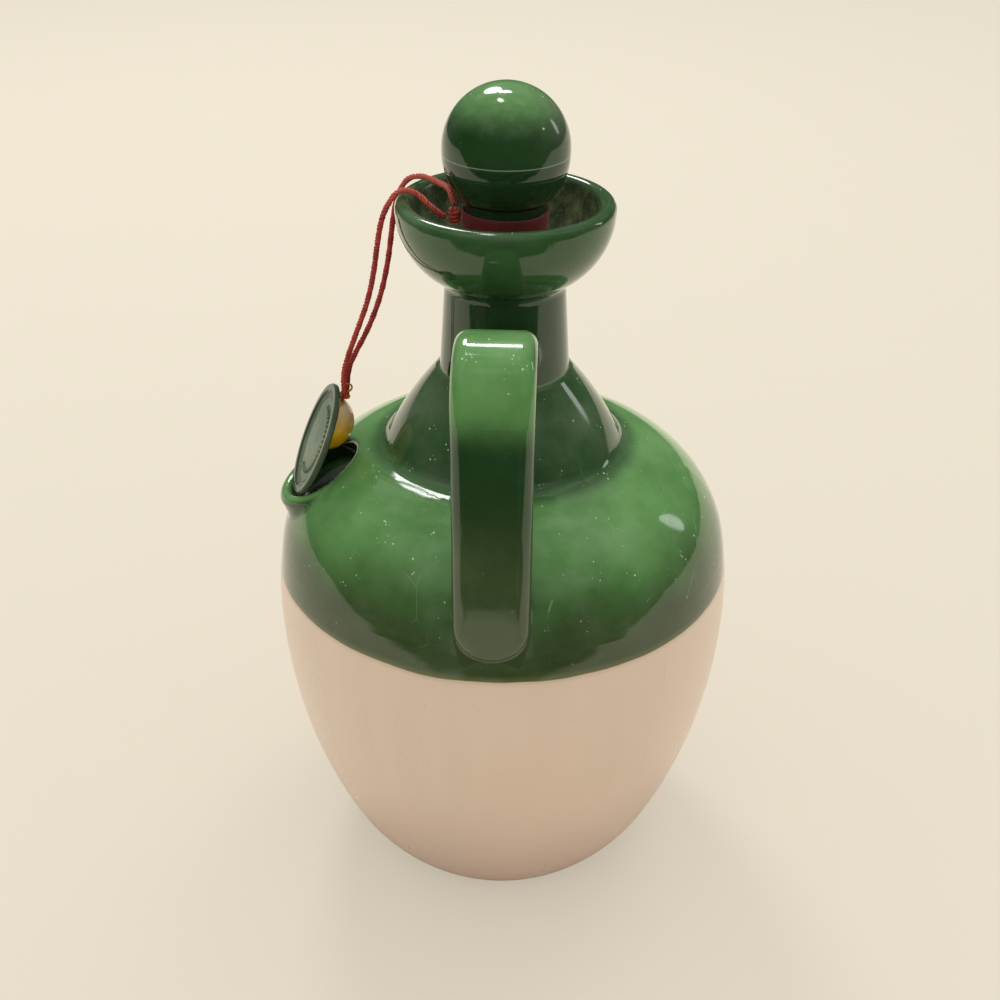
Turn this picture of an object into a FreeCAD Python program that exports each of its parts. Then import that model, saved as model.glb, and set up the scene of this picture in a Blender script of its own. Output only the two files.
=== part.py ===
import FreeCAD, Part
import Sketcher
import math
import os

# A glazed ceramic decanter: a bellied jug with a funnel mouth and a strap
# handle, a ball stopper in its neck, a ribbon band round the stopper's stem,
# and a glazed seal that hangs from the band on two cords and leans in its
# seat on the shoulder.  Millimetres; +Z up, the jug's axis is Z, its foot
# stands on Z = 0, and the handle points to -Y.

# name, value, what it measures
DIMENSIONS = [
    ("body_radius", 57.5, "widest radius of the jug's body"),
    ("belly_height", 74.2, "height of the widest point"),
    ("foot_radius", 35.4, "outer radius of the foot"),
    ("foot_inner_radius", 28.0, "inner radius of the standing ring"),
    ("foot_recess", 2.4, "depth of the hollow under the foot"),
    ("foot_slope", 1.4, "run of the hollow's sloping side"),
    ("flank_taper", 12.1359, "how far the flank draws in from the widest radius to its foot"),
    ("flank_join_height", 15.3, "height where the flank meets the lower arc"),
    ("upper_radius", 91.5, "arc of the body above the belly"),
    ("shoulder_rise", 17.6, "rise from the widest point to where the shoulder's arc begins"),
    ("shoulder_radius", 31.4, "arc of the shoulder"),
    ("collar_root_radius", 4.5, "hollow fillet between shoulder and collar"),
    ("collar_bulge_radius", 80.0, "arc of the collar's swelling side"),
    ("shoulder_width", 27.2, "how far the collar's base lies inside the widest radius"),
    ("collar_rise", 22.2, "rise from the start of the shoulder's arc to the collar's base"),
    ("collar_top_radius", 16.4, "radius of the collar's upper edge"),
    ("collar_height", 22.0, "rise of the collar over its base"),
    ("neck_foot_radius", 15.4, "radius of the neck at the collar"),
    ("collar_edge", 0.8, "rise of the collar's rounded upper edge to the neck"),
    ("neck_top_radius", 14.2, "radius of the neck under the funnel"),
    ("neck_height", 18.2, "height of the neck's straight part"),
    ("funnel_root_radius", 2.6, "hollow fillet between neck and funnel"),
    ("funnel_rim_radius", 24.9, "outer radius of the funnel's rim"),
    ("funnel_height", 20.0, "rise from the neck's top to the rim bead's centre"),
    ("funnel_bowl_radius", 18.5, "arc of the funnel's outside"),
    ("rim_bead_radius", 2.03, "radius of the rounded rim bead"),
    ("stem_radius", 9.3, "radius of the stopper's stem"),
    ("stem_clearance", 0.35, "gap between stem and bore"),
    ("bore_depth", 24.0, "drop from the rim bead's centre to the bore's floor"),
    ("ball_radius", 14.25, "radius of the stopper's ball across"),
    ("ball_rise", 12.7, "rise of the ball's centre over the rim bead's centre"),
    ("ball_waist", 0.9, "upright band between the ball's two halves"),
    ("stem_root_radius", 2.2, "hollow fillet between ball and stem"),
    ("stem_edge", 0.8, "chamfer at the stem's lower end"),
    ("band_clearance", 0.05, "gap between stem and band"),
    ("band_thickness", 0.6, "thickness of the ribbon band"),
    ("band_width", 6.6, "width of the ribbon band"),
    ("band_drop", 0.1, "drop from the rim bead's centre to the band's upper edge"),
    ("handle_width", 17.2, "width of the strap handle"),
    ("handle_thickness", 6.2, "thickness of the strap handle"),
    ("handle_corner", 3.0, "rounding of the strap's long edges"),
    ("handle_start", 9.0, "distance of the strap's buried end from the axis"),
    ("handle_root_rise", 8.0, "rise from the neck's foot to where the strap leaves it"),
    ("handle_root_bend", 8.0, "bend radius near the neck"),
    ("handle_rise_angle", 35.0, "angle at which the strap rises, degrees"),
    ("handle_crest_bend", 11.0, "bend radius at the strap's crest"),
    ("handle_crest_rise", 14.4, "rise of the strap's centre from its root to its crest"),
    ("handle_inset", 4.5, "how far the upright strap lies inside the widest radius"),
    ("tongue_rise", 17.4, "rise from the widest point to where the strap sinks in"),
    ("handle_foot_drop", 6.6, "how far the strap runs on inside the body"),
    ("seat_azimuth", 6.8, "seat's turn from -X towards the handle, degrees"),
    ("seat_inset", 12.45, "how far the seat's centre lies inside the widest radius"),
    ("seat_rise", 17.8, "rise from the start of the shoulder's arc to the seat's centre"),
    ("seat_slope", 30.0, "slope of the seat from level, degrees"),
    ("cup_radius", 9.6, "inner radius of the seat's cup"),
    ("cup_depth", 3.6, "depth of the cup"),
    ("seat_lip", 3.4, "width of the seat's rolled lip"),
    ("seat_flare", 4.6, "width of the lip where it leaves the shoulder"),
    ("seat_root_depth", 9.0, "how far the seat's boss reaches in"),
    ("seal_turn", 8.0, "turn of the leaning seal about the seat, degrees"),
    ("seal_lean", 35.0, "lean of the seal from the seat, degrees"),
    ("seal_edge_gap", 0.7, "gap from the seal's low edge to the cup's wall"),
    ("seal_edge_lift", -0.5, "height of that edge over the lip"),
    ("seal_radius", 14.2, "radius of the seal"),
    ("seal_edge", 0.35, "chamfer at the seal's edges"),
    ("seal_thickness", 1.4, "thickness of the seal"),
    ("seal_rim_width", 1.7, "width of the seal's raised rim"),
    ("seal_rim_rise", 0.7, "height of the rim above the face"),
    ("glue_radius", 6.9, "radius of the glue's pat on the seal's back"),
    ("glue_thickness", 6.6, "height of the glue's pat"),
    ("glue_lift", 5.3, "glue's shift up the seal's back"),
    ("glue_tilt", -14.0, "tilt of the glue's pat, thicker at the top, degrees"),
    ("cord_diameter", 1.6, "diameter of each cord"),
    ("knot_radius", 1.5, "outer radius of the knot that ties the cords to the band"),
    ("knot_turn_radius", 0.72, "half thickness of one turn of the knot"),
    ("knot_turn_rise", 1.25, "rise from one turn of the knot to the next"),
    ("knot_drop", 0.6, "the knot's top turn below the top of the band"),
    ("knot_azimuth", 12.0, "turn of the knot round the stem, from -X to -Y"),
    ("strap_blend", 2.4, "fillet between the strap and the neck"),
    ("seat_flank_blend", 2.4, "fillet between the seat's flank and the shoulder"),
    ("seat_lip_blend", 1.5, "fillet between the seat's lip and the shoulder"),
]

# Places that follow from the sizes: each piece is stacked on what carries it.
# name, formula, what it is
PLACES = [
    (
        "flank_radius",
        "=(flank_taper^2 + (belly_height - flank_join_height)^2) / (2 * flank_taper)",
        "arc of the flank below the belly",
    ),
    ("shoulder_join_height", "=belly_height + shoulder_rise", "start of the shoulder's arc"),
    ("collar_base_radius", "=body_radius - shoulder_width", "radius of the collar at its base"),
    ("collar_base_height", "=shoulder_join_height + collar_rise", "height of the collar's base"),
    ("collar_top_height", "=collar_base_height + collar_height", "height of the collar's upper edge"),
    ("neck_foot_height", "=collar_top_height + collar_edge", "height where the neck rises"),
    ("neck_top_height", "=neck_foot_height + neck_height", "top of the neck's straight part"),
    ("funnel_rim_height", "=neck_top_height + funnel_height", "height of the rim bead's centre"),
    ("bore_floor_height", "=funnel_rim_height - bore_depth", "height of the bore's floor"),
    ("ball_height", "=funnel_rim_height + ball_rise", "height of the ball's centre"),
    ("band_top_height", "=funnel_rim_height - band_drop", "height of the band's upper edge"),
    ("handle_root_height", "=neck_foot_height + handle_root_rise", "where the strap leaves the neck"),
    ("handle_crest_height", "=handle_root_height + handle_crest_rise", "strap's centre at its crest"),
    ("handle_reach", "=body_radius - handle_inset", "distance of the upright strap from the axis"),
    ("tongue_height", "=belly_height + tongue_rise", "height where the strap sinks into the body"),
    ("handle_foot_height", "=tongue_height - handle_foot_drop", "height of the strap's buried end"),
    ("seat_distance", "=body_radius - seat_inset", "distance of the seat's centre from the axis"),
    ("seat_height", "=shoulder_join_height + seat_rise", "height of the seat's centre"),
    ("seal_edge_reach", "=cup_radius - seal_edge_gap", "seal's low edge from the cup's centre"),
]

doc = FreeCAD.newDocument("decanter")
sheet = doc.addObject("Spreadsheet::Sheet", "Dimensions")
for row, (name, value, note) in enumerate(DIMENSIONS + PLACES, start=1):
    sheet.set(f"A{row}", note)
    sheet.set(f"B{row}", str(value))
    sheet.setAlias(f"B{row}", name)
doc.recompute()


def size(name):
    """Value of a named cell of the sheet."""
    return float(sheet.get(name))


def cell(name):
    """Reference to a named cell, for an expression."""
    return f"Dimensions.{name}"


def vec(x, y):
    """Point in a sketch's own plane."""
    return FreeCAD.Vector(x, y, 0)


def origin_plane(body, role):
    """Plane of a body's own origin, found by its role."""
    return next(f for f in body.Origin.OriginFeatures if f.Role == role)


def new_body(label):
    """Empty body that is written out under its label."""
    body = doc.addObject("PartDesign::Body", label)
    body.Label = label
    return body


def new_sketch(body, name, role):
    """Sketch on one of the body's origin planes."""
    sketch = body.newObject("Sketcher::SketchObject", name)
    sketch.AttachmentSupport = [(origin_plane(body, role), "")]
    sketch.MapMode = "FlatFace"
    return sketch


class Outline:
    """Chain of lines and arcs in a sketch, each end joined to the next."""

    def __init__(self, sketch):
        self.sketch = sketch
        self.edges = []

    def line(self, start, end):
        index = self.sketch.addGeometry(Part.LineSegment(start, end), False)
        self.edges.append((index, 1, 2))
        return index

    def arc(self, centre, start, end, clockwise=False):
        first, last = (end, start) if clockwise else (start, end)
        circle = Part.Circle(centre, vec(0, 0) + FreeCAD.Vector(0, 0, 1), (start - centre).Length)
        angle_1 = math.atan2(first.y - centre.y, first.x - centre.x)
        angle_2 = math.atan2(last.y - centre.y, last.x - centre.x)
        if angle_2 < angle_1:
            angle_2 += 2 * math.pi
        index = self.sketch.addGeometry(Part.ArcOfCircle(circle, angle_1, angle_2), False)
        self.edges.append((index, 2, 1) if clockwise else (index, 1, 2))
        return index

    def start(self, number):
        index, first, _ = self.edges[number]
        return index, first

    def end(self, number):
        index, _, last = self.edges[number]
        return index, last

    def join(self, smooth=(), closed=True):
        """Joins each edge's end to the next one's start; smooth ones run tangent."""
        count = len(self.edges) if closed else len(self.edges) - 1
        for number in range(count):
            kind = "Tangent" if number in smooth else "Coincident"
            following = (number + 1) % len(self.edges)
            self.sketch.addConstraint(
                Sketcher.Constraint(kind, *self.end(number), *self.start(following))
            )

    def bind(self, kind, place, expression, name):
        """Dimension tied to an expression of named sizes."""
        value = self.measure(kind, place)
        ends = place
        if kind in ("DistanceX", "DistanceY"):
            ends = (-1, 1, *place) if value >= 0 else (*place, -1, 1)
        index = self.sketch.addConstraint(Sketcher.Constraint(kind, *ends, abs(value)))
        self.sketch.renameConstraint(index, name)
        self.sketch.setExpression(f"Constraints.{name}", expression)

    def measure(self, kind, place):
        if kind == "Radius":
            return self.sketch.Geometry[place[0]].Radius
        if kind == "Angle":
            run = self.sketch.getPoint(place[0], 2) - self.sketch.getPoint(place[0], 1)
            return math.atan2(run.y, run.x)
        point = self.sketch.getPoint(*place)
        return point.x if kind == "DistanceX" else point.y

    def at(self, place, x=None, y=None):
        """Ties a point to named sizes across and up; 0 puts it on the axis."""
        label = f"p{place[0]}_{place[1]}"
        if x == 0:
            self.sketch.addConstraint(Sketcher.Constraint("PointOnObject", *place, -2))
        elif x is not None:
            self.bind("DistanceX", place, x, f"{label}_across")
        if y == 0:
            self.sketch.addConstraint(Sketcher.Constraint("PointOnObject", *place, -1))
        elif y is not None:
            self.bind("DistanceY", place, y, f"{label}_up")

    def radius(self, index, expression):
        self.bind("Radius", (index,), expression, f"radius_{index}")


def revolve(body, sketch, name, kind="PartDesign::Revolution"):
    """Full turn of a sketch about its own upright axis."""
    feature = body.newObject(kind, name)
    feature.Profile = sketch
    feature.ReferenceAxis = (sketch, ["V_Axis"])
    feature.Angle = 360.0
    sketch.Visibility = False
    return feature


def circle_meet(centre_1, radius_1, centre_2, radius_2, pick):
    """Meeting point of two circles that scores highest by pick."""
    gap = centre_2 - centre_1
    along = (radius_1**2 - radius_2**2 + gap.Length**2) / (2 * gap.Length)
    across = math.sqrt(max(radius_1**2 - along**2, 0.0))
    unit = gap / gap.Length
    side = vec(-unit.y, unit.x)
    foot = centre_1 + unit * along
    return max((foot + side * across, foot - side * across), key=pick)


def toward(start, end, distance):
    """Point at a distance from start, on the way to end."""
    way = end - start
    return start + way * (distance / way.Length)


# ---------------------------------------------------------------- the jug

jug = new_body("jug")


def is_turned(face):
    """True for a face that is turned about the vessel's own axis."""
    surface = face.Surface
    axis = getattr(surface, "Axis", getattr(surface, "Direction", None))
    place = getattr(surface, "Center", getattr(surface, "Location", None))
    if axis is None or place is None or surface.TypeId == "Part::GeomPlane":
        return False
    return abs(axis.z) > 0.999999 and math.hypot(place.x, place.y) < 1e-6


def junction_edges(low, high, kinds):
    """Edges inside a box where a turned face of the vessel meets one of other kinds."""
    shape = jug.Tip.Shape
    names = []
    for number, edge in enumerate(shape.Edges, 1):
        box = edge.BoundBox
        inside = (
            box.XMin > low.x and box.YMin > low.y and box.ZMin > low.z
            and box.XMax < high.x and box.YMax < high.y and box.ZMax < high.z
        )
        if not inside:
            continue
        faces = shape.ancestorsOfType(edge, Part.Face)
        others = [face.Surface.TypeId for face in faces if not is_turned(face)]
        if len(others) == 1 and len(faces) == 2 and others[0] in kinds:
            names.append(f"Edge{number}")
    return names


def round_edges(name, names, radius):
    """Fillet on named edges of the vessel as built so far."""
    base = jug.Tip
    feature = jug.newObject("PartDesign::Fillet", name)
    feature.Base = (base, names)
    feature.Refine = False
    feature.setExpression("Radius", cell(radius))
    base.Visibility = False
    doc.recompute()
    return feature


def rounded_section(body, name, role, width, height, corner, centre_height):
    """Rectangle with rounded corners, centred across at a height; names of sizes."""
    sketch = new_sketch(body, name, role)
    outline = Outline(sketch)
    half_w = size(width) / 2
    half_h = size(height) / 2
    rim = size(corner)
    middle = size(centre_height)
    for turn in range(4):
        # one straight side, then the corner that follows it
        across, up = (half_w, half_h) if turn % 2 == 0 else (half_h, half_w)
        angle = math.radians(90 * turn)
        ahead = vec(math.cos(angle), math.sin(angle))
        aside = vec(-math.sin(angle), math.cos(angle))
        shift = vec(0, middle)
        start = shift - ahead * (across - rim) - aside * up
        end = shift + ahead * (across - rim) - aside * up
        outline.line(start, end)
        outline.arc(end + aside * rim, end, end + (ahead + aside) * rim)
    outline.join(smooth=range(8))
    for number, kind in ((0, "Horizontal"), (2, "Vertical"), (4, "Horizontal"), (6, "Vertical")):
        sketch.addConstraint(Sketcher.Constraint(kind, number))
    outline.radius(1, cell(corner))
    for number in (3, 5, 7):
        sketch.addConstraint(Sketcher.Constraint("Equal", 1, number))
    outline.at(outline.end(0), y=f"{cell(centre_height)} - {cell(height)} / 2")
    outline.at(outline.end(2), x=f"{cell(width)} / 2")
    outline.at(outline.end(4), y=f"{cell(centre_height)} + {cell(height)} / 2")
    outline.at(outline.end(6), x=f"{cell(width)} / 2")
    return sketch


def handle_spine():
    """Strap's centre line: out of the neck, over the crest, down to the belly."""
    spine = new_sketch(jug, "handle_spine", "YZ_Plane")
    outline = Outline(spine)
    rise = math.radians(size("handle_rise_angle"))
    crest_r = size("handle_crest_bend")
    root_r = size("handle_root_bend")
    root_h = size("handle_root_height")
    reach = size("handle_reach")
    lean = vec(math.sin(rise), math.cos(rise))
    way = vec(-math.cos(rise), math.sin(rise))
    crest_c = vec(crest_r - reach, size("handle_crest_height") - crest_r)
    crest_start = crest_c + lean * crest_r
    slant = (crest_start.y - root_h - root_r * (1 - math.cos(rise))) / math.sin(rise)
    root_end = crest_start - way * slant
    root_c = root_end + lean * root_r
    begin = vec(-size("handle_start"), root_h)
    root_start = vec(root_c.x, root_h)
    turn_down = vec(-reach, crest_c.y)
    outline.line(begin, root_start)
    root = outline.arc(root_c, root_start, root_end, clockwise=True)
    slope = outline.line(root_end, crest_start)
    crest = outline.arc(crest_c, crest_start, turn_down)
    outline.line(turn_down, vec(-reach, size("handle_foot_height")))
    outline.join(smooth=(0, 1, 2, 3), closed=False)
    spine.addConstraint(Sketcher.Constraint("Horizontal", 0))
    outline.at(outline.start(0), x=cell("handle_start"), y=cell("handle_root_height"))
    outline.radius(root, cell("handle_root_bend"))
    outline.radius(crest, cell("handle_crest_bend"))
    outline.bind("Angle", (slope,), f"180 - {cell('handle_rise_angle')}", "rise")
    outline.at((crest, 3), y=f"{cell('handle_crest_height')} - {cell('handle_crest_bend')}")
    spine.addConstraint(Sketcher.Constraint("Vertical", 4))
    outline.at(outline.end(4), x=cell("handle_reach"), y=cell("handle_foot_height"))
    return spine


handle_path = handle_spine()
handle_section = rounded_section(
    jug, "handle_section", "XZ_Plane", "handle_width", "handle_thickness",
    "handle_corner", "handle_root_height",
)
handle_section.setExpression("AttachmentOffset.Base.z", cell("handle_start"))
doc.recompute()
handle = jug.newObject("PartDesign::AdditivePipe", "handle")
handle.Profile = handle_section
handle.Spine = (handle_path, [f"Edge{number}" for number in range(1, 6)])
handle_section.Visibility = False
doc.recompute()


def jug_outline():
    """Half section of the jug: foot, belly, collar, neck, funnel and bore."""
    sketch = new_sketch(jug, "jug_section", "XZ_Plane")
    outline = Outline(sketch)
    body_r = size("body_radius")
    belly = size("belly_height")

    # flank and lower arc, from the belly down to the foot
    flank_c = vec(body_r - size("flank_radius"), belly)
    drop = belly - size("flank_join_height")
    flank_join = flank_c + vec(math.sqrt(size("flank_radius") ** 2 - drop**2), -drop)
    foot = vec(size("foot_radius"), 0)
    chord = flank_join - foot
    inward = (flank_c - flank_join) / size("flank_radius")
    lower_radius = -chord.Length**2 / (2 * (chord.x * inward.x + chord.y * inward.y))
    lower_c = flank_join + inward * abs(lower_radius)

    # upper arc and shoulder
    upper_c = vec(body_r - size("upper_radius"), belly)
    rise = size("shoulder_join_height") - belly
    upper_join = upper_c + vec(math.sqrt(size("upper_radius") ** 2 - rise**2), rise)
    shoulder_c = toward(upper_join, upper_c, size("shoulder_radius"))

    # collar: an arc through its top and base, and a hollow fillet at its root
    top = vec(size("collar_top_radius"), size("collar_top_height"))
    base = vec(size("collar_base_radius"), size("collar_base_height"))
    bulge = size("collar_bulge_radius")
    collar_c = circle_meet(top, bulge, base, bulge, lambda p: -p.x)
    root = size("collar_root_radius")
    root_c = circle_meet(
        shoulder_c, size("shoulder_radius") + root, collar_c, bulge + root, lambda p: p.y
    )
    root_low = toward(root_c, shoulder_c, root)
    root_high = toward(root_c, collar_c, root)

    # neck, funnel outside, rim bead, funnel inside and bore
    neck_foot = vec(size("neck_foot_radius"), size("neck_foot_height"))
    neck_top = vec(size("neck_top_radius"), size("neck_top_height"))
    rim_h = size("funnel_rim_height")
    bowl = size("funnel_bowl_radius")
    bead = size("rim_bead_radius")
    bowl_c = vec(size("funnel_rim_radius") - bowl, rim_h)
    hollow = size("funnel_root_radius")
    neck_way = (neck_top - neck_foot) / (neck_top - neck_foot).Length
    out = vec(neck_way.y, -neck_way.x)
    line_point = neck_foot + out * hollow
    reach = bowl_c - line_point
    along = reach.x * neck_way.x + reach.y * neck_way.y
    across = (reach - neck_way * along).Length
    hollow_c = line_point + neck_way * (along - math.sqrt((bowl + hollow) ** 2 - across**2))
    hollow_low = hollow_c - out * hollow
    hollow_high = toward(hollow_c, bowl_c, hollow)
    rim_out = vec(size("funnel_rim_radius"), rim_h)
    rim_in = vec(size("funnel_rim_radius") - 2 * bead, rim_h)
    bore = size("stem_radius") + size("stem_clearance")
    inner = bowl - 2 * bead
    bore_top = vec(bore, rim_h - math.sqrt(inner**2 - (bore - bowl_c.x) ** 2))
    floor = size("bore_floor_height")
    recess = size("foot_recess")
    ring_in = vec(size("foot_inner_radius"), 0)
    ring_up = vec(size("foot_inner_radius") - size("foot_slope"), recess)

    outline.line(vec(0, recess), ring_up)
    outline.line(ring_up, ring_in)
    outline.line(ring_in, foot)
    lower = outline.arc(lower_c, foot, flank_join)
    flank = outline.arc(flank_c, flank_join, vec(body_r, belly))
    upper = outline.arc(upper_c, vec(body_r, belly), upper_join)
    shoulder = outline.arc(shoulder_c, upper_join, root_low)
    root_arc = outline.arc(root_c, root_low, root_high, clockwise=True)
    collar = outline.arc(collar_c, root_high, top)
    outline.line(top, neck_foot)
    neck = outline.line(neck_foot, hollow_low)
    hollow_arc = outline.arc(hollow_c, hollow_low, hollow_high, clockwise=True)
    bowl_arc = outline.arc(bowl_c, hollow_high, rim_out)
    rim = outline.arc(vec(rim_out.x - bead, rim_h), rim_out, rim_in)
    inside = outline.arc(bowl_c, rim_in, bore_top, clockwise=True)
    outline.line(bore_top, vec(bore, floor))
    outline.line(vec(bore, floor), vec(0, floor))
    outline.line(vec(0, floor), vec(0, recess))
    outline.join(smooth=(3, 4, 5, 6, 7, 10, 11, 12, 13))
    sketch_add = sketch.addConstraint

    outline.at(outline.start(0), x=0, y=cell("foot_recess"))
    outline.at(outline.end(0), x=f"{cell('foot_inner_radius')} - {cell('foot_slope')}")
    sketch_add(Sketcher.Constraint("Horizontal", 0))
    outline.at(outline.end(1), x=cell("foot_inner_radius"), y=0)
    outline.at(outline.end(2), x=cell("foot_radius"), y=0)
    outline.at((flank, 3), y=cell("belly_height"))
    outline.at(outline.end(4), x=cell("body_radius"), y=cell("belly_height"))
    outline.radius(flank, cell("flank_radius"))
    outline.at(outline.end(3), y=cell("flank_join_height"))
    outline.radius(upper, cell("upper_radius"))
    outline.at(outline.end(5), y=cell("shoulder_join_height"))
    outline.radius(shoulder, cell("shoulder_radius"))
    outline.radius(root_arc, cell("collar_root_radius"))
    outline.radius(collar, cell("collar_bulge_radius"))
    outline.at(outline.end(8), x=cell("collar_top_radius"), y=cell("collar_top_height"))
    base_mark = sketch.addGeometry(Part.Point(base), True)
    sketch_add(Sketcher.Constraint("PointOnObject", base_mark, 1, collar))
    outline.at((base_mark, 1), x=cell("collar_base_radius"), y=cell("collar_base_height"))
    outline.at(outline.end(9), x=cell("neck_foot_radius"), y=cell("neck_foot_height"))
    neck_mark = sketch.addGeometry(Part.Point(neck_top), True)
    sketch_add(Sketcher.Constraint("PointOnObject", neck_mark, 1, neck))
    outline.at((neck_mark, 1), x=cell("neck_top_radius"), y=cell("neck_top_height"))
    outline.radius(hollow_arc, cell("funnel_root_radius"))
    outline.radius(bowl_arc, cell("funnel_bowl_radius"))
    outline.at((bowl_arc, 3), y=cell("funnel_rim_height"))
    outline.at(outline.end(12), x=cell("funnel_rim_radius"), y=cell("funnel_rim_height"))
    outline.radius(rim, cell("rim_bead_radius"))
    sketch_add(Sketcher.Constraint("Coincident", inside, 3, bowl_arc, 3))
    outline.at(outline.end(14), x=f"{cell('stem_radius')} + {cell('stem_clearance')}")
    sketch_add(Sketcher.Constraint("Vertical", outline.edges[15][0]))
    outline.at(outline.end(15), y=cell("bore_floor_height"))
    sketch_add(Sketcher.Constraint("Horizontal", outline.edges[16][0]))
    outline.at(outline.end(16), x=0)
    return sketch


jug_section = jug_outline()
jug_turned = revolve(jug, jug_section, "jug_turned")


# The seal's seat: a round cup with a rolled lip, set into the shoulder.
SEAT_TURN = f"{cell('seat_azimuth')} * 1 deg"
SEAT_PLACE = (
    f"placement(vector(-{cell('seat_distance')} * cos({SEAT_TURN});"
    f" -{cell('seat_distance')} * sin({SEAT_TURN}); {cell('seat_height')});"
    f" rotation(vector(0; 0; 1); {cell('seat_azimuth')})"
    f" * rotation(vector(0; 1; 0); -{cell('seat_slope')}))"
)
SEAT_SKETCH_PLACE = (
    f"placement(vector(-{cell('seat_distance')} * cos({SEAT_TURN});"
    f" {cell('seat_height')}; {cell('seat_distance')} * sin({SEAT_TURN}));"
    f" rotation(vector(0; 1; 0); {cell('seat_azimuth')})"
    f" * rotation(vector(0; 0; 1); {cell('seat_slope')}))"
)


def seat_boss_outline():
    """Half section of the solid boss that carries the seat's lip."""
    sketch = new_sketch(jug, "seat_boss_section", "XZ_Plane")
    outline = Outline(sketch)
    cup = size("cup_radius")
    roll = size("seat_lip") / 2
    deep = size("seat_root_depth")
    outer = vec(cup + 2 * roll, -roll)
    flare = vec(cup + size("seat_flare"), -deep)
    outline.line(vec(0, -deep), flare)
    outline.line(flare, outer)
    lip = outline.arc(vec(cup + roll, -roll), outer, vec(cup, -roll))
    outline.line(vec(cup, -roll), vec(0, -roll))
    outline.line(vec(0, -roll), vec(0, -deep))
    outline.join()
    sketch.addConstraint(Sketcher.Constraint("Horizontal", 0))
    sketch.addConstraint(Sketcher.Constraint("Horizontal", 3))
    outline.at(outline.start(0), x=0, y=cell("seat_root_depth"))
    outline.at(outline.end(0), x=f"{cell('cup_radius')} + {cell('seat_flare')}")
    outline.radius(lip, f"{cell('seat_lip')} / 2")
    outline.at((lip, 3), x=f"{cell('cup_radius')} + {cell('seat_lip')} / 2")
    outline.at((lip, 3), y=f"{cell('seat_lip')} / 2")
    outline.at(outline.end(1), y=f"{cell('seat_lip')} / 2")
    outline.at(outline.end(2), y=f"{cell('seat_lip')} / 2")
    outline.at(outline.end(3), x=0)
    return sketch


def cup_outline():
    """Half section of the cup that is cut out inside the lip."""
    sketch = new_sketch(jug, "cup_section", "XZ_Plane")
    outline = Outline(sketch)
    cup = size("cup_radius")
    deep = size("cup_depth")
    above = size("seat_root_depth")
    outline.line(vec(0, -deep), vec(cup, -deep))
    outline.line(vec(cup, -deep), vec(cup, above))
    outline.line(vec(cup, above), vec(0, above))
    outline.line(vec(0, above), vec(0, -deep))
    outline.join()
    for number, kind in enumerate(("Horizontal", "Vertical", "Horizontal", "Vertical")):
        sketch.addConstraint(Sketcher.Constraint(kind, number))
    outline.at(outline.start(0), x=0, y=cell("cup_depth"))
    outline.at(outline.end(0), x=cell("cup_radius"))
    outline.at(outline.end(1), y=cell("seat_root_depth"))
    return sketch


boss_section = seat_boss_outline()
boss_section.setExpression("AttachmentOffset", SEAT_SKETCH_PLACE)
doc.recompute()
seat_boss = revolve(jug, boss_section, "seat_boss")
doc.recompute()
cup_section = cup_outline()
cup_section.setExpression("AttachmentOffset", SEAT_SKETCH_PLACE)
doc.recompute()
seat_cup = revolve(jug, cup_section, "seat_cup", "PartDesign::Groove")
doc.recompute()


half_strap = size("handle_width") / 2 + 1
strap_root_blend = round_edges(
    "strap_root_blend",
    junction_edges(
        FreeCAD.Vector(-half_strap, -size("handle_reach") / 2, size("handle_root_height") - 14),
        FreeCAD.Vector(half_strap, -size("handle_start"), size("handle_root_height") + 14),
        ("Part::GeomPlane", "Part::GeomCylinder"),
    ),
    "strap_blend",
)
seat_low = FreeCAD.Vector(-size("body_radius") - 5, -25, size("seat_height") - 25)
seat_high = FreeCAD.Vector(-size("seat_distance") / 2, 25, size("seat_height") + 12)
seat_flank_blend = round_edges(
    "seat_flank_blend", junction_edges(seat_low, seat_high, ("Part::GeomCone",)), "seat_flank_blend"
)
seat_lip_blend = round_edges(
    "seat_lip_blend",
    junction_edges(seat_low, seat_high, ("Part::GeomToroid", "Part::GeomCylinder")),
    "seat_lip_blend",
)


# ------------------------------------------------------------ the stopper

stopper = new_body("stopper")


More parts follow.
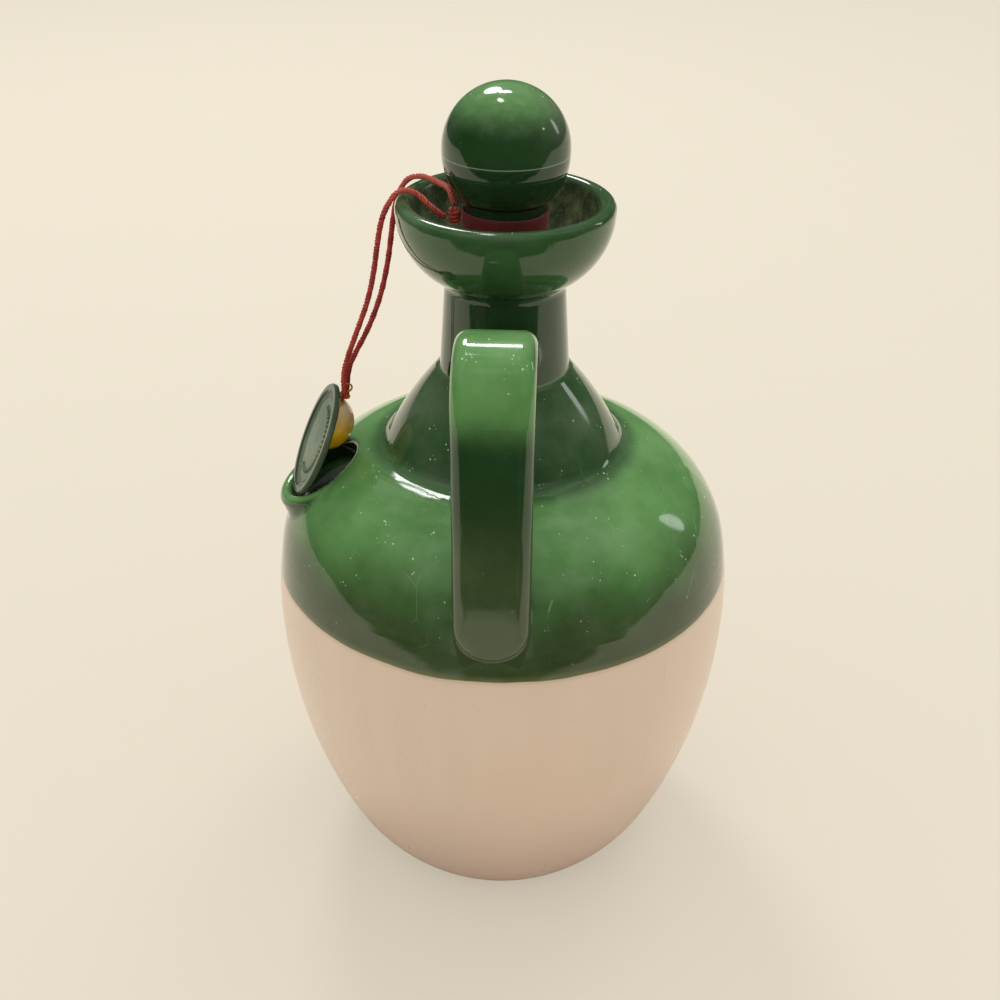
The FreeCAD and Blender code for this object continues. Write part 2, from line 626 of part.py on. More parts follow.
def stopper_outline():
    """Half section of the stopper: stem, hollow root and slightly tall ball."""
    sketch = new_sketch(stopper, "stopper_section", "XZ_Plane")
    outline = Outline(sketch)
    stem = size("stem_radius")
    floor = size("bore_floor_height")
    edge = size("stem_edge")
    ball = size("ball_radius")
    waist = size("ball_waist") / 2
    low_c = vec(0, size("ball_height") - waist)
    high_c = vec(0, size("ball_height") + waist)
    root = size("stem_root_radius")
    root_c = vec(stem + root, low_c.y - math.sqrt((ball + root) ** 2 - (stem + root) ** 2))
    root_low = vec(stem, root_c.y)
    root_high = toward(root_c, low_c, root)
    outline.line(vec(0, floor), vec(stem - edge, floor))
    outline.line(vec(stem - edge, floor), vec(stem, floor + edge))
    outline.line(vec(stem, floor + edge), root_low)
    hollow = outline.arc(root_c, root_low, root_high, clockwise=True)
    lower = outline.arc(low_c, root_high, vec(ball, low_c.y))
    outline.line(vec(ball, low_c.y), vec(ball, high_c.y))
    upper = outline.arc(high_c, vec(ball, high_c.y), vec(0, high_c.y + ball))
    outline.line(vec(0, high_c.y + ball), vec(0, floor))
    outline.join(smooth=(2, 3, 4, 5))
    sketch.addConstraint(Sketcher.Constraint("Horizontal", 0))
    sketch.addConstraint(Sketcher.Constraint("Vertical", 2))
    sketch.addConstraint(Sketcher.Constraint("Vertical", 5))
    outline.at(outline.start(0), x=0, y=cell("bore_floor_height"))
    outline.at(outline.end(1), x=cell("stem_radius"))
    outline.at(outline.end(1), y=f"{cell('bore_floor_height')} + {cell('stem_edge')}")
    outline.at(outline.end(0), x=f"{cell('stem_radius')} - {cell('stem_edge')}")
    outline.radius(hollow, cell("stem_root_radius"))
    outline.at((lower, 3), x=0, y=f"{cell('ball_height')} - {cell('ball_waist')} / 2")
    outline.radius(lower, cell("ball_radius"))
    outline.at((upper, 3), x=0, y=f"{cell('ball_height')} + {cell('ball_waist')} / 2")
    outline.at(outline.end(6), x=0)
    return sketch


stopper_turned = revolve(stopper, stopper_outline(), "stopper_turned")


# --------------------------------------------------------------- the band

band = new_body("band")


def band_outline():
    """Section of the ribbon band that lies round the stem."""
    sketch = new_sketch(band, "band_section", "XZ_Plane")
    outline = Outline(sketch)
    inner = size("stem_radius") + size("band_clearance")
    outer = inner + size("band_thickness")
    top = size("band_top_height")
    low = top - size("band_width")
    outline.line(vec(inner, low), vec(outer, low))
    outline.line(vec(outer, low), vec(outer, top))
    outline.line(vec(outer, top), vec(inner, top))
    outline.line(vec(inner, top), vec(inner, low))
    outline.join()
    for number, kind in enumerate(("Horizontal", "Vertical", "Horizontal", "Vertical")):
        sketch.addConstraint(Sketcher.Constraint(kind, number))
    bore = f"{cell('stem_radius')} + {cell('band_clearance')}"
    outline.at(outline.start(0), x=bore)
    outline.at(outline.end(0), x=f"{bore} + {cell('band_thickness')}")
    outline.at(outline.end(1), y=cell("band_top_height"))
    outline.at(outline.end(0), y=f"{cell('band_top_height')} - {cell('band_width')}")
    return sketch


band_turned = revolve(band, band_outline(), "band_turned")


# --------------------------------------------------------------- the seal

SEAL_PLACE = (
    f"{SEAT_PLACE}"
    f" * placement(vector(0; 0; 0); rotation(vector(0; 0; 1); {cell('seal_turn')}))"
    f" * placement(vector(-{cell('seal_edge_reach')}; 0; {cell('seal_edge_lift')});"
    f" rotation(vector(0; 1; 0); -{cell('seal_lean')}))"
    f" * placement(vector({cell('seal_radius')}; 0; 0); rotation(vector(0; 0; 1); 0))"
)

seal = new_body("seal")


def seal_outline():
    """Half section of the seal: a thin disc with a raised rim on its face."""
    sketch = new_sketch(seal, "seal_section", "XZ_Plane")
    outline = Outline(sketch)
    full = size("seal_radius")
    edge = size("seal_edge")
    thick = size("seal_thickness")
    rim = size("seal_rim_width")
    rise = size("seal_rim_rise")
    corners = [
        vec(0, -thick),
        vec(full - edge, -thick),
        vec(full, edge - thick),
        vec(full, -edge),
        vec(full - edge, 0),
        vec(full - rim, 0),
        vec(full - rim - rise, -rise),
        vec(0, -rise),
    ]
    for start, end in zip(corners, corners[1:] + corners[:1]):
        outline.line(start, end)
    outline.join()
    for number, kind in ((0, "Horizontal"), (2, "Vertical"), (4, "Horizontal"), (6, "Horizontal")):
        sketch.addConstraint(Sketcher.Constraint(kind, number))
    full_e, edge_e, rim_e, rise_e = (
        cell(name) for name in ("seal_radius", "seal_edge", "seal_rim_width", "seal_rim_rise")
    )
    outline.at(outline.start(0), x=0, y=cell("seal_thickness"))
    outline.at(outline.end(0), x=f"{full_e} - {edge_e}")
    outline.at(outline.end(1), x=full_e, y=f"{cell('seal_thickness')} - {edge_e}")
    outline.at(outline.end(2), y=edge_e)
    outline.at(outline.end(3), x=f"{full_e} - {edge_e}", y=0)
    outline.at(outline.end(4), x=f"{full_e} - {rim_e}")
    outline.at(outline.end(5), x=f"{full_e} - {rim_e} - {rise_e}", y=rise_e)
    outline.at(outline.end(6), x=0)
    return sketch


seal_turned = revolve(seal, seal_outline(), "seal_turned")
seal.setExpression("Placement", SEAL_PLACE)


# --------------------------------------------------------------- the glue

glue_pat = doc.addObject("Part::Ellipsoid", "glue_pat")
glue_pat.setExpression("Radius1", cell("glue_thickness"))
glue_pat.setExpression("Radius2", cell("glue_radius"))
glue_pat.setExpression("Radius3", cell("glue_radius"))
glue_pat.setExpression(
    "Placement",
    f"placement(vector({cell('glue_lift')}; 0; -{cell('seal_thickness')});"
    f" rotation(vector(0; 1; 0); {cell('glue_tilt')}))",
)
glue_space = doc.addObject("Part::Box", "glue_space")
for side in ("Length", "Width"):
    glue_space.setExpression(side, f"4 * {cell('glue_radius')}")
glue_space.setExpression("Height", f"3 * {cell('glue_radius')}")
glue_space.setExpression(
    "Placement",
    f"placement(vector(-2 * {cell('glue_radius')}; -2 * {cell('glue_radius')};"
    f" -{cell('seal_thickness')} - 3 * {cell('glue_radius')}); rotation(vector(0; 0; 1); 0))",
)
glue = doc.addObject("Part::MultiCommon", "glue")
glue.Shapes = [glue_pat, glue_space]
glue.Label = "glue"
glue.setExpression("Placement", SEAL_PLACE)
doc.recompute()



# ---------------------------------------------------------- knot and cords

KNOT_TURNS = 3
KNOT_TURN = f"{cell('knot_azimuth')} * 1 deg"
KNOT_REACH = (
    f"({cell('stem_radius')} + {cell('band_clearance')} + {cell('band_thickness')}"
    f" + {cell('knot_radius')} + {cell('band_clearance')})"
)
core = doc.addObject("Part::Cylinder", "knot_core")
core.setExpression("Radius", f"{cell('knot_radius')} - {cell('knot_turn_radius')}")
core.setExpression("Height", f"{KNOT_TURNS} * {cell('knot_turn_rise')}")
core.setExpression(
    "Placement",
    f"placement(vector(0; 0; -{KNOT_TURNS} * {cell('knot_turn_rise')});"
    " rotation(vector(0; 0; 1); 0))",
)
turns = []
for number in range(KNOT_TURNS):
    turn = doc.addObject("Part::Torus", f"knot_turn_{number}")
    turn.setExpression("Radius1", f"{cell('knot_radius')} - {cell('knot_turn_radius')}")
    turn.setExpression("Radius2", cell("knot_turn_radius"))
    turn.setExpression(
        "Placement",
        f"placement(vector(0; 0; -{number + 0.5} * {cell('knot_turn_rise')});"
        " rotation(vector(0; 0; 1); 0))",
    )
    turns.append(turn)
knot = doc.addObject("Part::MultiFuse", "knot")
knot.Shapes = [core] + turns
knot.Label = "knot"
knot.setExpression(
    "Placement",
    f"placement(vector(-{KNOT_REACH} * cos({KNOT_TURN}); -{KNOT_REACH} * sin({KNOT_TURN});"
    f" {cell('band_top_height')} + {cell('knot_drop')}); rotation(vector(0; 0; 1); 0))",
)
doc.recompute()

# Each row is a share of the way (-1 at the knot, 0 at the rim, 1 at the glue)
# and what is added to it in X, Y and Z.
AT_KNOT = knot.Placement.Base
AT_RIM = FreeCAD.Vector(
    -size("funnel_rim_radius"), 0, size("funnel_rim_height") + size("rim_bead_radius")
)
AT_GLUE = seal.Placement.multVec(
    FreeCAD.Vector(size("glue_lift") + size("glue_radius"), 0, -size("seal_thickness"))
)
FRONT_CORD = (
    (-0.9, -0.54, -1.05, -2.35),
    (-0.7, 0.2, -1.6, -1.5),
    (-0.5, 0.7, -0.5, -0.4),
    (-0.4, -0.5, 1.0, 1.3),
    (-0.1, -0.5, -0.5, 1.8),
    (0.06, -1.5, -3.4, -0.1),
    (0.19, -0.8, -2.8, 0.1),
    (0.34, 0.3, -1.8, 0.2),
    (0.5, 0.8, -0.8, -0.2),
    (0.66, 0.3, -0.5, 0.1),
    (0.8, -0.3, -0.6, -0.2),
    (0.9, 0.1, -1.0, -0.1),
    (1, 1.87, -0.75, -0.2),
)
BACK_CORD = (
    (-1.0, -0.05, 0.09, 0.5),
    (-1.0, -0.95, 0.8, 2.8),
    (-0.9, -0.3, 3.8, 2.9),
    (-0.7, 0.6, 6.4, 2.3),
    (-0.6, -0.5, 9.0, 2.4),
    (-0.3, 0.5, 10.6, 2.0),
    (-0.1, -0.1, 11.1, 0.5),
    (0.07, 0.4, 8.0, 0.0),
    (0.18, 1.3, 5.2, 0.2),
    (0.32, 2.7, 3.2, 0.0),
    (0.5, 3.5, 2.2, 0.2),
    (0.66, 2.7, 1.5, -0.2),
    (0.79, 1.2, 1.4, 0.1),
    (0.89, 0.7, 1.4, 0.2),
    (1, 1.95, 1.57, -1.15),
)
BEND_SHARE = 0.45


def cord_points(rows):
    """Corner points of a cord that hangs from the knot over the rim to the glue."""
    points = []
    for share, *added in rows:
        start, end = (AT_KNOT, AT_RIM) if share < 0 else (AT_RIM, AT_GLUE)
        way = share + 1 if share < 0 else share
        points.append(start + (end - start) * way + FreeCAD.Vector(*added))
    return points


def cord_tube(label, rows):
    """Round cord along straight runs that are joined by tangent arcs."""
    points = cord_points(rows)
    edges = []
    radii = []
    start = points[0]
    for before, corner, after in zip(points, points[1:], points[2:]):
        back = (before - corner).normalize()
        ahead = (after - corner).normalize()
        half_turn = (math.pi - back.getAngle(ahead)) / 2
        bite = BEND_SHARE * min(before.distanceToPoint(corner), corner.distanceToPoint(after))
        radius = bite / math.tan(half_turn)
        inward = (back + ahead).normalize()
        middle = corner + inward * (radius / math.cos(half_turn) - radius)
        enter = corner + back * bite
        leave = corner + ahead * bite
        edges.append(Part.LineSegment(start, enter).toShape())
        edges.append(Part.Arc(enter, middle, leave).toShape())
        radii.append(radius)
        start = leave
    edges.append(Part.LineSegment(start, points[-1]).toShape())
    path = Part.Wire(edges)
    section = Part.Wire(
        Part.makeCircle(size("cord_diameter") / 2, points[0], points[1] - points[0])
    )
    tube = path.makePipeShell([section], True, False)
    expected = math.pi * size("cord_diameter") ** 2 / 4 * path.Length
    print(f"{label}: length {path.Length:.1f} mm, volume {tube.Volume / expected:.3f} of section x length")
    print(f"{label}: bend radii", " ".join(f"{radius:.1f}" for radius in radii))
    cord = doc.addObject("Part::Feature", label)
    cord.Shape = tube
    cord.Placement = FreeCAD.Placement()
    cord.Label = label
    return cord


cord_front = cord_tube("cord_front", FRONT_CORD)
cord_back = cord_tube("cord_back", BACK_CORD)


# ------------------------------------------------------- checks and export

PARTS = (jug, stopper, band, knot, cord_front, cord_back, seal, glue)

doc.recompute()
for item in doc.Objects:
    if "Invalid" in item.State or "Error" in item.State:
        raise RuntimeError(f"{item.Name} did not solve: {item.State}")
for part in PARTS:
    if part.Shape.isNull() or not part.Shape.isValid() or len(part.Shape.Solids) != 1:
        raise RuntimeError(f"{part.Label} is not one valid solid")
    print(f"{part.Label}: volume {part.Shape.Volume:.1f} mm3, {part.Shape.BoundBox}")

os.makedirs("parts", exist_ok=True)
for part in PARTS:
    part.Shape.exportStep(f"parts/{part.Label}.step")
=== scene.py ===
import math
import random

import bpy
import bmesh
from bpy.props import FloatProperty, FloatVectorProperty, IntProperty, PointerProperty
from mathutils import Matrix, Vector


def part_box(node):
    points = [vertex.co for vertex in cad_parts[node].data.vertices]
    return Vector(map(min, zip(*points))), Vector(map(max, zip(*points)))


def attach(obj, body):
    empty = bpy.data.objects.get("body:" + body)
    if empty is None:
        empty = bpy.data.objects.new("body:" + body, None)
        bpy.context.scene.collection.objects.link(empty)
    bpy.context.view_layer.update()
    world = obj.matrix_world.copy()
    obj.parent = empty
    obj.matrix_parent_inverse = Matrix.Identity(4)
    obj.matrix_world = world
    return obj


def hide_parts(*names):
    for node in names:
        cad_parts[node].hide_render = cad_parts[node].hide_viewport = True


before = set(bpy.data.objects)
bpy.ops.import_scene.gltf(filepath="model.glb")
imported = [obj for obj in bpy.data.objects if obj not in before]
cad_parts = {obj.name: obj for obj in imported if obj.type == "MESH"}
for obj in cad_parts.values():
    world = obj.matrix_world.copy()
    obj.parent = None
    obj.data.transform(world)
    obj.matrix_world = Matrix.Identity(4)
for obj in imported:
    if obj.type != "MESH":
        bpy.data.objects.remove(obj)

bl_info = {
    "name": "Ceramic decanter",
    "version": (1, 0, 0),
    "blender": (4, 5, 0),
    "location": "3D View > Sidebar > Decanter",
    "description": "Finishes the decanter's ceramic, cords, seal and glue, and sets its stage",
    "category": "Object",
}

MM = 0.001
BODY = "root"

# Routes of the two cords, from the knot over the funnel's lip to the glue, in millimetres.
FRONT_ROUTE = (
    (-13.2, -3.2, 173.3), (-15.1, -3.3, 174.5), (-17.4, -1.7, 175.9), (-19.9, 0.0, 177.7),
    (-24.0, -0.7, 178.7), (-27.3, -3.6, 174.0), (-28.6, -3.3, 167.8), (-29.8, -2.8, 160.6),
    (-31.7, -2.2, 152.3), (-34.7, -2.4, 144.8), (-37.4, -2.9, 137.6), (-38.5, -3.6, 132.8),
    (-38.3, -3.6, 127.8),
)
BACK_ROUTE = (
    (-11.3, -2.3, 176.0), (-12.2, -1.6, 178.3), (-12.9, 1.6, 178.6), (-14.7, 4.7, 178.3),
    (-17.2, 7.6, 178.5), (-20.3, 9.9, 178.6), (-23.6, 10.9, 177.4), (-25.6, 7.8, 173.6),
    (-26.3, 4.7, 168.4), (-27.1, 2.3, 161.3), (-29.0, 0.8, 152.7), (-32.3, -0.4, 144.5),
    (-35.7, -0.9, 138.4), (-37.8, -1.2, 133.6), (-38.2, -1.3, 126.8),
)
# Where the seal sits: its own axes as columns, and its centre on its face.
SEAL_AXES = (
    (0.399292, -0.236931, -0.885680),
    (0.162424, 0.969031, -0.186003),
    (0.902322, -0.069587, 0.425409),
)
SEAL_CENTRE = (-46.2472, -5.1317, 117.573)
# The seal's seat in the shoulder: the centre of its mouth and the way it looks.
SEAT_CENTRE = (-0.044733, -0.005334, 0.1096)
SEAT_WAY = (-0.496483, -0.059203, 0.866025)
CUP_RADIUS = 0.0096
# Height of the painted reflection of the funnel's rim round the stopper's ball.
REFLECTED_RIM_HEIGHT = 0.18730
# The strap's outer face, its width and the rounding of its edges.
STRAP_FACE = -0.0561
STRAP_WIDTH = 0.0172
STRAP_EDGE = 0.0030
# The rounded tongue at its lower end: lowest point, where it starts, and how far it stands out.
TONGUE_HEIGHT = 0.0901
TONGUE_TOP = 0.124
TONGUE_RISE = 0.0012
TONGUE_MIDDLE = TONGUE_HEIGHT + STRAP_WIDTH / 2
# Arcs of the body over its widest point and of its shoulder: centre from the axis, height, radius.
BODY_ARC = (-0.0340, 0.0742, 0.0915)
SHOULDER_ARC = (0.024978, 0.085760, 0.0314)
SHOULDER_START = 0.0918
# Spans, in metres, over which the painted light, shade and reflections on the vessel's glaze change:
# heights, and how far out from the axis.
COLLAR_HEIGHTS = (0.1125, 0.1185)
COLLAR_REACH = (0.0345, 0.0305)
BOWL_HEIGHTS = (0.156, 0.163)
STRAP_OUTSIDE = (-0.0485, -0.0500)
STRAP_SIDES = (0.0098, 0.0084)
STRAP_START = (0.0908, 0.0918)
LIT_CREST_HEIGHTS = (0.143, 0.155)
STRAP_SHADE = (0.138, 0.108)
CORNER_START = (0.0868, 0.0871)
CORNER_SIDE = 0.0098
BELLY_REFLECTION_HEIGHTS = (0.1100, 0.0890)
# The funnel's bowl: the centre of its inner arc, that arc's radius, and its floor and rim.
FUNNEL_ARC = (0.0064, 0.175, 0.0165)
FUNNEL_FLOOR = (0.1555, 0.157)
FUNNEL_RIM = (0.1745, 0.1768)

# Shades of the glazes, of wear and dirt on them, and of painted light, shade and reflections.
# Painted reflection of the floor on the strap's lower face.
STRAP_FLOOR_REFLECTION = (0.058, 0.080, 0.034)
# Painted dark reflection on the lower belly.
BELLY_DARK_REFLECTION = (0.034, 0.050, 0.018)
# Painted shade in the corners beside the strap's tongue.
CORNER_SHADE = (0.026, 0.046, 0.016)
MOTTLE_DARK = (0.80, 0.84, 0.78)
MOTTLE_PALE = (1.12, 1.08, 1.12)
# Paler green along sharp edges.
PALE_EDGE = (0.24, 0.36, 0.20)
# Painted reflection of the funnel on the stopper's ball: its lit rim, and its dark inside under it.
REFLECTED_RIM = (0.42, 0.52, 0.40)
REFLECTED_FUNNEL = (0.006, 0.022, 0.007)
SEAL_FACE = ((0.085, 0.12, 0.08), (0.15, 0.19, 0.13))
SEAL_RIM = ((0.012, 0.022, 0.013), (0.05, 0.075, 0.045))
FILM = (0.62, 0.66, 0.55)
SCRATCH = (0.6, 0.68, 0.56)
SPECK = (0.80, 0.82, 0.72)
GRIME = ((0.045, 0.075, 0.02), (0.21, 0.26, 0.10))
GRIT = (0.42, 0.46, 0.22)
LINE_OLIVE = (0.105, 0.115, 0.035)
LINE_SHADOW = (0.36, 0.27, 0.17)
FLECK = (0.30, 0.20, 0.13)
# Painted shade towards the bottom of the cream.
LOW_SHADE = (0.80, 0.74, 0.77)
CORD_REDS = ((0.15, 0.006, 0.004), (0.52, 0.042, 0.026))
# Painted light on the cord where it lies over the rim.
CORD_LIT = ((0.34, 0.045, 0.025), (0.72, 0.15, 0.10))
# Painted shade: the ribbon's reds, darker than the cord's.
RIBBON_SHADED_REDS = ((0.055, 0.002, 0.003), (0.17, 0.004, 0.006))

# The seal's relief, in millimetres from its face: its floor, the fine ring and the arc of beads.
RELIEF_FLOOR = -0.7
RING_RADIUS = 10.9
RING_WIRE = 0.22
BEAD_CIRCLE = 8.3
BEAD_ARC = (-195, 10)

# Seen by the camera, part of the floor's colour is lit and part glows, so its shadow stays light.
FLOOR_SHARE = 0.42
FLOOR_GLOW = 0.50
FLOOR_SIZE = 8.0
# The camera's place, and its turns about Z, X and Z in degrees.
CAMERA_PLACE = (0.0124, -0.2835, 0.2695)
CAMERA_TURNS = ((2.67, "Z"), (58.91, "X"), (0.4, "Z"))


# ------------------------------------------------------------------ settings


class GlazeSettings(bpy.types.PropertyGroup):
    """Colours and flaws of the ceramic, with a lit and a shaded copy of its green."""

    line_height: FloatProperty(
        name="Line height", description="Height of the line between the two glazes",
        default=0.0854, unit="LENGTH",
    )
    line_wave: FloatProperty(
        name="Line wave", description="How far the line wanders up and down",
        default=0.0011, unit="LENGTH",
    )
    # Painted light: green is the lit copy of the upper glaze, used where faces look up, and deep is its
    # shaded copy, used where they look sideways or down.
    green: FloatVectorProperty(
        name="Green", description="Upper glaze where it is thin and pale", subtype="COLOR", size=3,
        default=(0.108, 0.262, 0.080), min=0, max=1,
    )
    deep: FloatVectorProperty(
        name="Deep green", description="Upper glaze where it is thick and dark", subtype="COLOR",
        size=3, default=(0.014, 0.042, 0.014), min=0, max=1,
    )
    cream: FloatVectorProperty(
        name="Cream", description="Colour of the lower glaze", subtype="COLOR", size=3,
        default=(0.605, 0.475, 0.372), min=0, max=1,
    )
    dust: FloatProperty(
        name="Dust", description="Amount of dust on upward faces", default=0.5, min=0, max=1,
    )


class CordSettings(bpy.types.PropertyGroup):
    """Make-up of the cords and the ribbon."""

    diameter: FloatProperty(
        name="Diameter", description="Diameter of a cord", default=0.0016, unit="LENGTH",
    )
    strands: IntProperty(
        name="Strands", description="Yarns twisted into a cord", default=4, min=2, max=6,
    )
    pitch: FloatProperty(
        name="Pitch", description="Length of one full twist", default=0.0030, unit="LENGTH",
    )


class SealSettings(bpy.types.PropertyGroup):
    """Relief on the seal's face."""

    beads: IntProperty(
        name="Beads", description="Beads in the long arc of the relief", default=24, min=3,
    )
    bead_radius: FloatProperty(
        name="Bead radius", description="Radius of a bead", default=0.00052, unit="LENGTH",
    )


class StageSettings(bpy.types.PropertyGroup):
    """Floor, light and camera."""

    floor: FloatVectorProperty(
        name="Floor", description="Colour of the floor", subtype="COLOR", size=3,
        default=(0.80, 0.735, 0.61), min=0, max=1,
    )
    ambient: FloatProperty(
        name="Ambient", description="Strength of the light all round", default=1.0, min=0,
    )
    lens: FloatProperty(
        name="Lens", description="Focal length on a 36 mm sensor", default=47.02, min=1,
    )


# ------------------------------------------------------------- shader graphs


class Graph:
    """Short hand for adding nodes and links to one node tree."""

    def __init__(self, tree):
        self.tree = tree

    def add(self, kind, inputs=None, **attributes):
        """A new node with its attributes set and its inputs fed."""
        node = self.tree.nodes.new(kind)
        for key, value in attributes.items():
            setattr(node, key, value)
        for key, value in (inputs or {}).items():
            self.feed(node.inputs[key], value)
        return node

    def feed(self, socket, value):
        """Links a socket to an input, or writes a plain value into it."""
        if isinstance(value, bpy.types.NodeSocket):
            self.tree.links.new(value, socket)
        elif socket.type == "RGBA" and len(value) == 3:
            socket.default_value = (*value, 1)
        else:
            socket.default_value = value

    def math(self, operation, *values):
        """One sum on numbers."""
        node = self.add("ShaderNodeMath", operation=operation)
        for socket, value in zip(node.inputs, values):
            self.feed(socket, value)
        return node.outputs[0]

    def product(self, first, *others):
        """Several masks or numbers multiplied."""
        for other in others:
            first = self.math("MULTIPLY", first, other)
        return first

    def vector(self, operation, *values):
        """One sum on vectors."""
        node = self.add("ShaderNodeVectorMath", operation=operation)
        for socket, value in zip(node.inputs, values):
            self.feed(socket, value)
        scalar = operation in ("LENGTH", "DOT_PRODUCT", "DISTANCE")
        return node.outputs["Value" if scalar else "Vector"]

    def ramp(self, value, low, high, to_low=0.0, to_high=1.0):
        """Smooth step from to_low at low to to_high at high."""
        node = self.add(
            "ShaderNodeMapRange",
            {"Value": value, "From Min": low, "From Max": high, "To Min": to_low, "To Max": to_high},
            interpolation_type="SMOOTHSTEP",
        )
        return node.outputs["Result"]

    def mix(self, share, first, second, blend="MIX"):
        """Two colours mixed by a share."""
        node = self.add("ShaderNodeMix", data_type="RGBA", blend_type=blend)
        self.feed(node.inputs["Factor"], share)
        self.feed(node.inputs[6], first)
        self.feed(node.inputs[7], second)
        return node.outputs[2]

    def noise(self, vector, scale, detail=3.0, roughness=0.5):
        """Cloudy noise between zero and one."""
        node = self.add(
            "ShaderNodeTexNoise",
            {"Vector": vector, "Scale": scale, "Detail": detail, "Roughness": roughness},
        )
        return node.outputs["Fac"]

    def voronoi(self, vector, scale, feature="F1"):
        """Distance to the nearest of many scattered points, or to the edge between two of them."""
        node = self.add("ShaderNodeTexVoronoi", {"Vector": vector, "Scale": scale}, feature=feature)
        return node.outputs["Distance"]

    def split(self, vector):
        """The three parts of a vector, by their letters."""
        return self.add("ShaderNodeSeparateXYZ", {"Vector": vector}).outputs


def shader_group(name, inputs, outputs, build):
    """A node group with named sockets, made once."""
    tree = bpy.data.node_groups.get(name)
    if tree:
        return tree
    tree = bpy.data.node_groups.new(name, "ShaderNodeTree")
    for label, kind, default in inputs:
        socket = tree.interface.new_socket(label, in_out="INPUT", socket_type=f"NodeSocket{kind}")
        if default is not None:
            socket.default_value = default
    for label, kind in outputs:
        tree.interface.new_socket(label, in_out="OUTPUT", socket_type=f"NodeSocket{kind}")
    graph = Graph(tree)
    source = graph.add("NodeGroupInput")
    sink = graph.add("NodeGroupOutput")
    for label, socket in build(graph, source.outputs).items():
        graph.feed(sink.inputs[label], socket)
    return tree


def dust_group():
    """Sparse specks, hairline scratches and a thin film on faces that look up."""

    def build(graph, given):
        place = given["Place"]
        normal = graph.add("ShaderNodeNewGeometry").outputs["Normal"]
        facing = graph.ramp(graph.split(normal)["Z"], -0.1, 0.7)
        cell = graph.voronoi(place, 900.0)
        chance = graph.noise(place, 260.0, 2.0)
        size = graph.ramp(chance, 0.5, 0.8, 0.0, 0.30)
        speck = graph.math("LESS_THAN", cell, size)
        edge = graph.voronoi(graph.vector("MULTIPLY", place, (85, 85, 40)), 1.0, "DISTANCE_TO_EDGE")
        line = graph.ramp(edge, 0.0, 0.007, 1.0, 0.0)
        broken = graph.ramp(graph.noise(place, 110.0, 3.0), 0.58, 0.66)
        scratch = graph.math("MULTIPLY", line, broken)
        film = graph.ramp(graph.noise(place, 45.0, 4.0, 0.6), 0.45, 0.8)
        kinds = {"Specks": speck, "Scratches": scratch, "Film": film}
        return {
            label: graph.product(mask, facing, given["Amount"]) for label, mask in kinds.items()
        }

    return shader_group(
        "Dust and scratches",
        [("Place", "Vector", None), ("Amount", "Float", 0.5)],
        [("Specks", "Float"), ("Scratches", "Float"), ("Film", "Float")],
        build,
    )


def glaze_surface_group():
    """Hand-thrown unevenness of a glaze: slow waves, fine ripples and pinholes, in millimetres."""

    def build(graph, given):
        place = given["Place"]
        slow = graph.noise(graph.vector("MULTIPLY", place, (1, 1, 1.6)), 22.0, 1.5, 0.4)
        ripple = graph.noise(place, 150.0, 2.0, 0.5)
        pits = graph.ramp(graph.voronoi(place, 420.0), 0.03, 0.09)
        height = graph.math("MULTIPLY", slow, given["Waves"])
        height = graph.math("MULTIPLY_ADD", ripple, given["Ripples"], height)
        height = graph.math("MULTIPLY_ADD", pits, given["Pits"], height)
        return {"Height": height}

    return shader_group(
        "Glaze surface",
        [
            ("Place", "Vector", None),
            ("Waves", "Float", 0.25),
            ("Ripples", "Float", 0.012),
            ("Pits", "Float", 0.004),
        ],
        [("Height", "Float")],
        build,
    )


def yarn_group():
    """Fine fibres that run along a yarn or across a ribbon."""

    def build(graph, given):
        along = graph.vector("MULTIPLY", given["Place"], given["Stretch"])
        fibre = graph.noise(along, 1.0, 3.0, 0.6)
        patch = graph.noise(given["Place"], 300.0, 2.0)
        shade = graph.math("MULTIPLY_ADD", fibre, 0.7, graph.math("MULTIPLY", patch, 0.5))
        share = graph.ramp(shade, 0.35, 0.85)
        colour = graph.mix(share, given["Deep"], given["Light"])
        return {"Color": colour, "Height": fibre}

    return shader_group(
        "Yarn",
        [
            ("Place", "Vector", None),
            ("Stretch", "Vector", (1, 1, 1)),
            ("Deep", "Color", (0.2, 0.0, 0.0, 1)),
            ("Light", "Color", (0.6, 0.0, 0.0, 1)),
        ],
        [("Color", "Color"), ("Height", "Float")],
        build,
    )


def new_material(name):
    """A material with an empty tree but for its Principled shader and its output."""
    material = bpy.data.materials.new(name)
    material.use_nodes = True
    tree = material.node_tree
    tree.nodes.clear()
    graph = Graph(tree)
    shader = graph.add("ShaderNodeBsdfPrincipled")
    sink = graph.add("ShaderNodeOutputMaterial")
    tree.links.new(shader.outputs["BSDF"], sink.inputs["Surface"])
    return material, graph, shader


def matt_material(name):
    """A material with no shine at all."""
    material, graph, shader = new_material(name)
    shader.inputs["Roughness"].default_value = 1.0
    shader.inputs["Specular IOR Level"].default_value = 0.0
    return material, graph, shader


def group_node(graph, tree, **inputs):
    """A node group placed in a material with its own values."""
    node = graph.add("ShaderNodeGroup", node_tree=tree)
    for label, value in inputs.items():
        graph.feed(node.inputs[label], value)
    return node


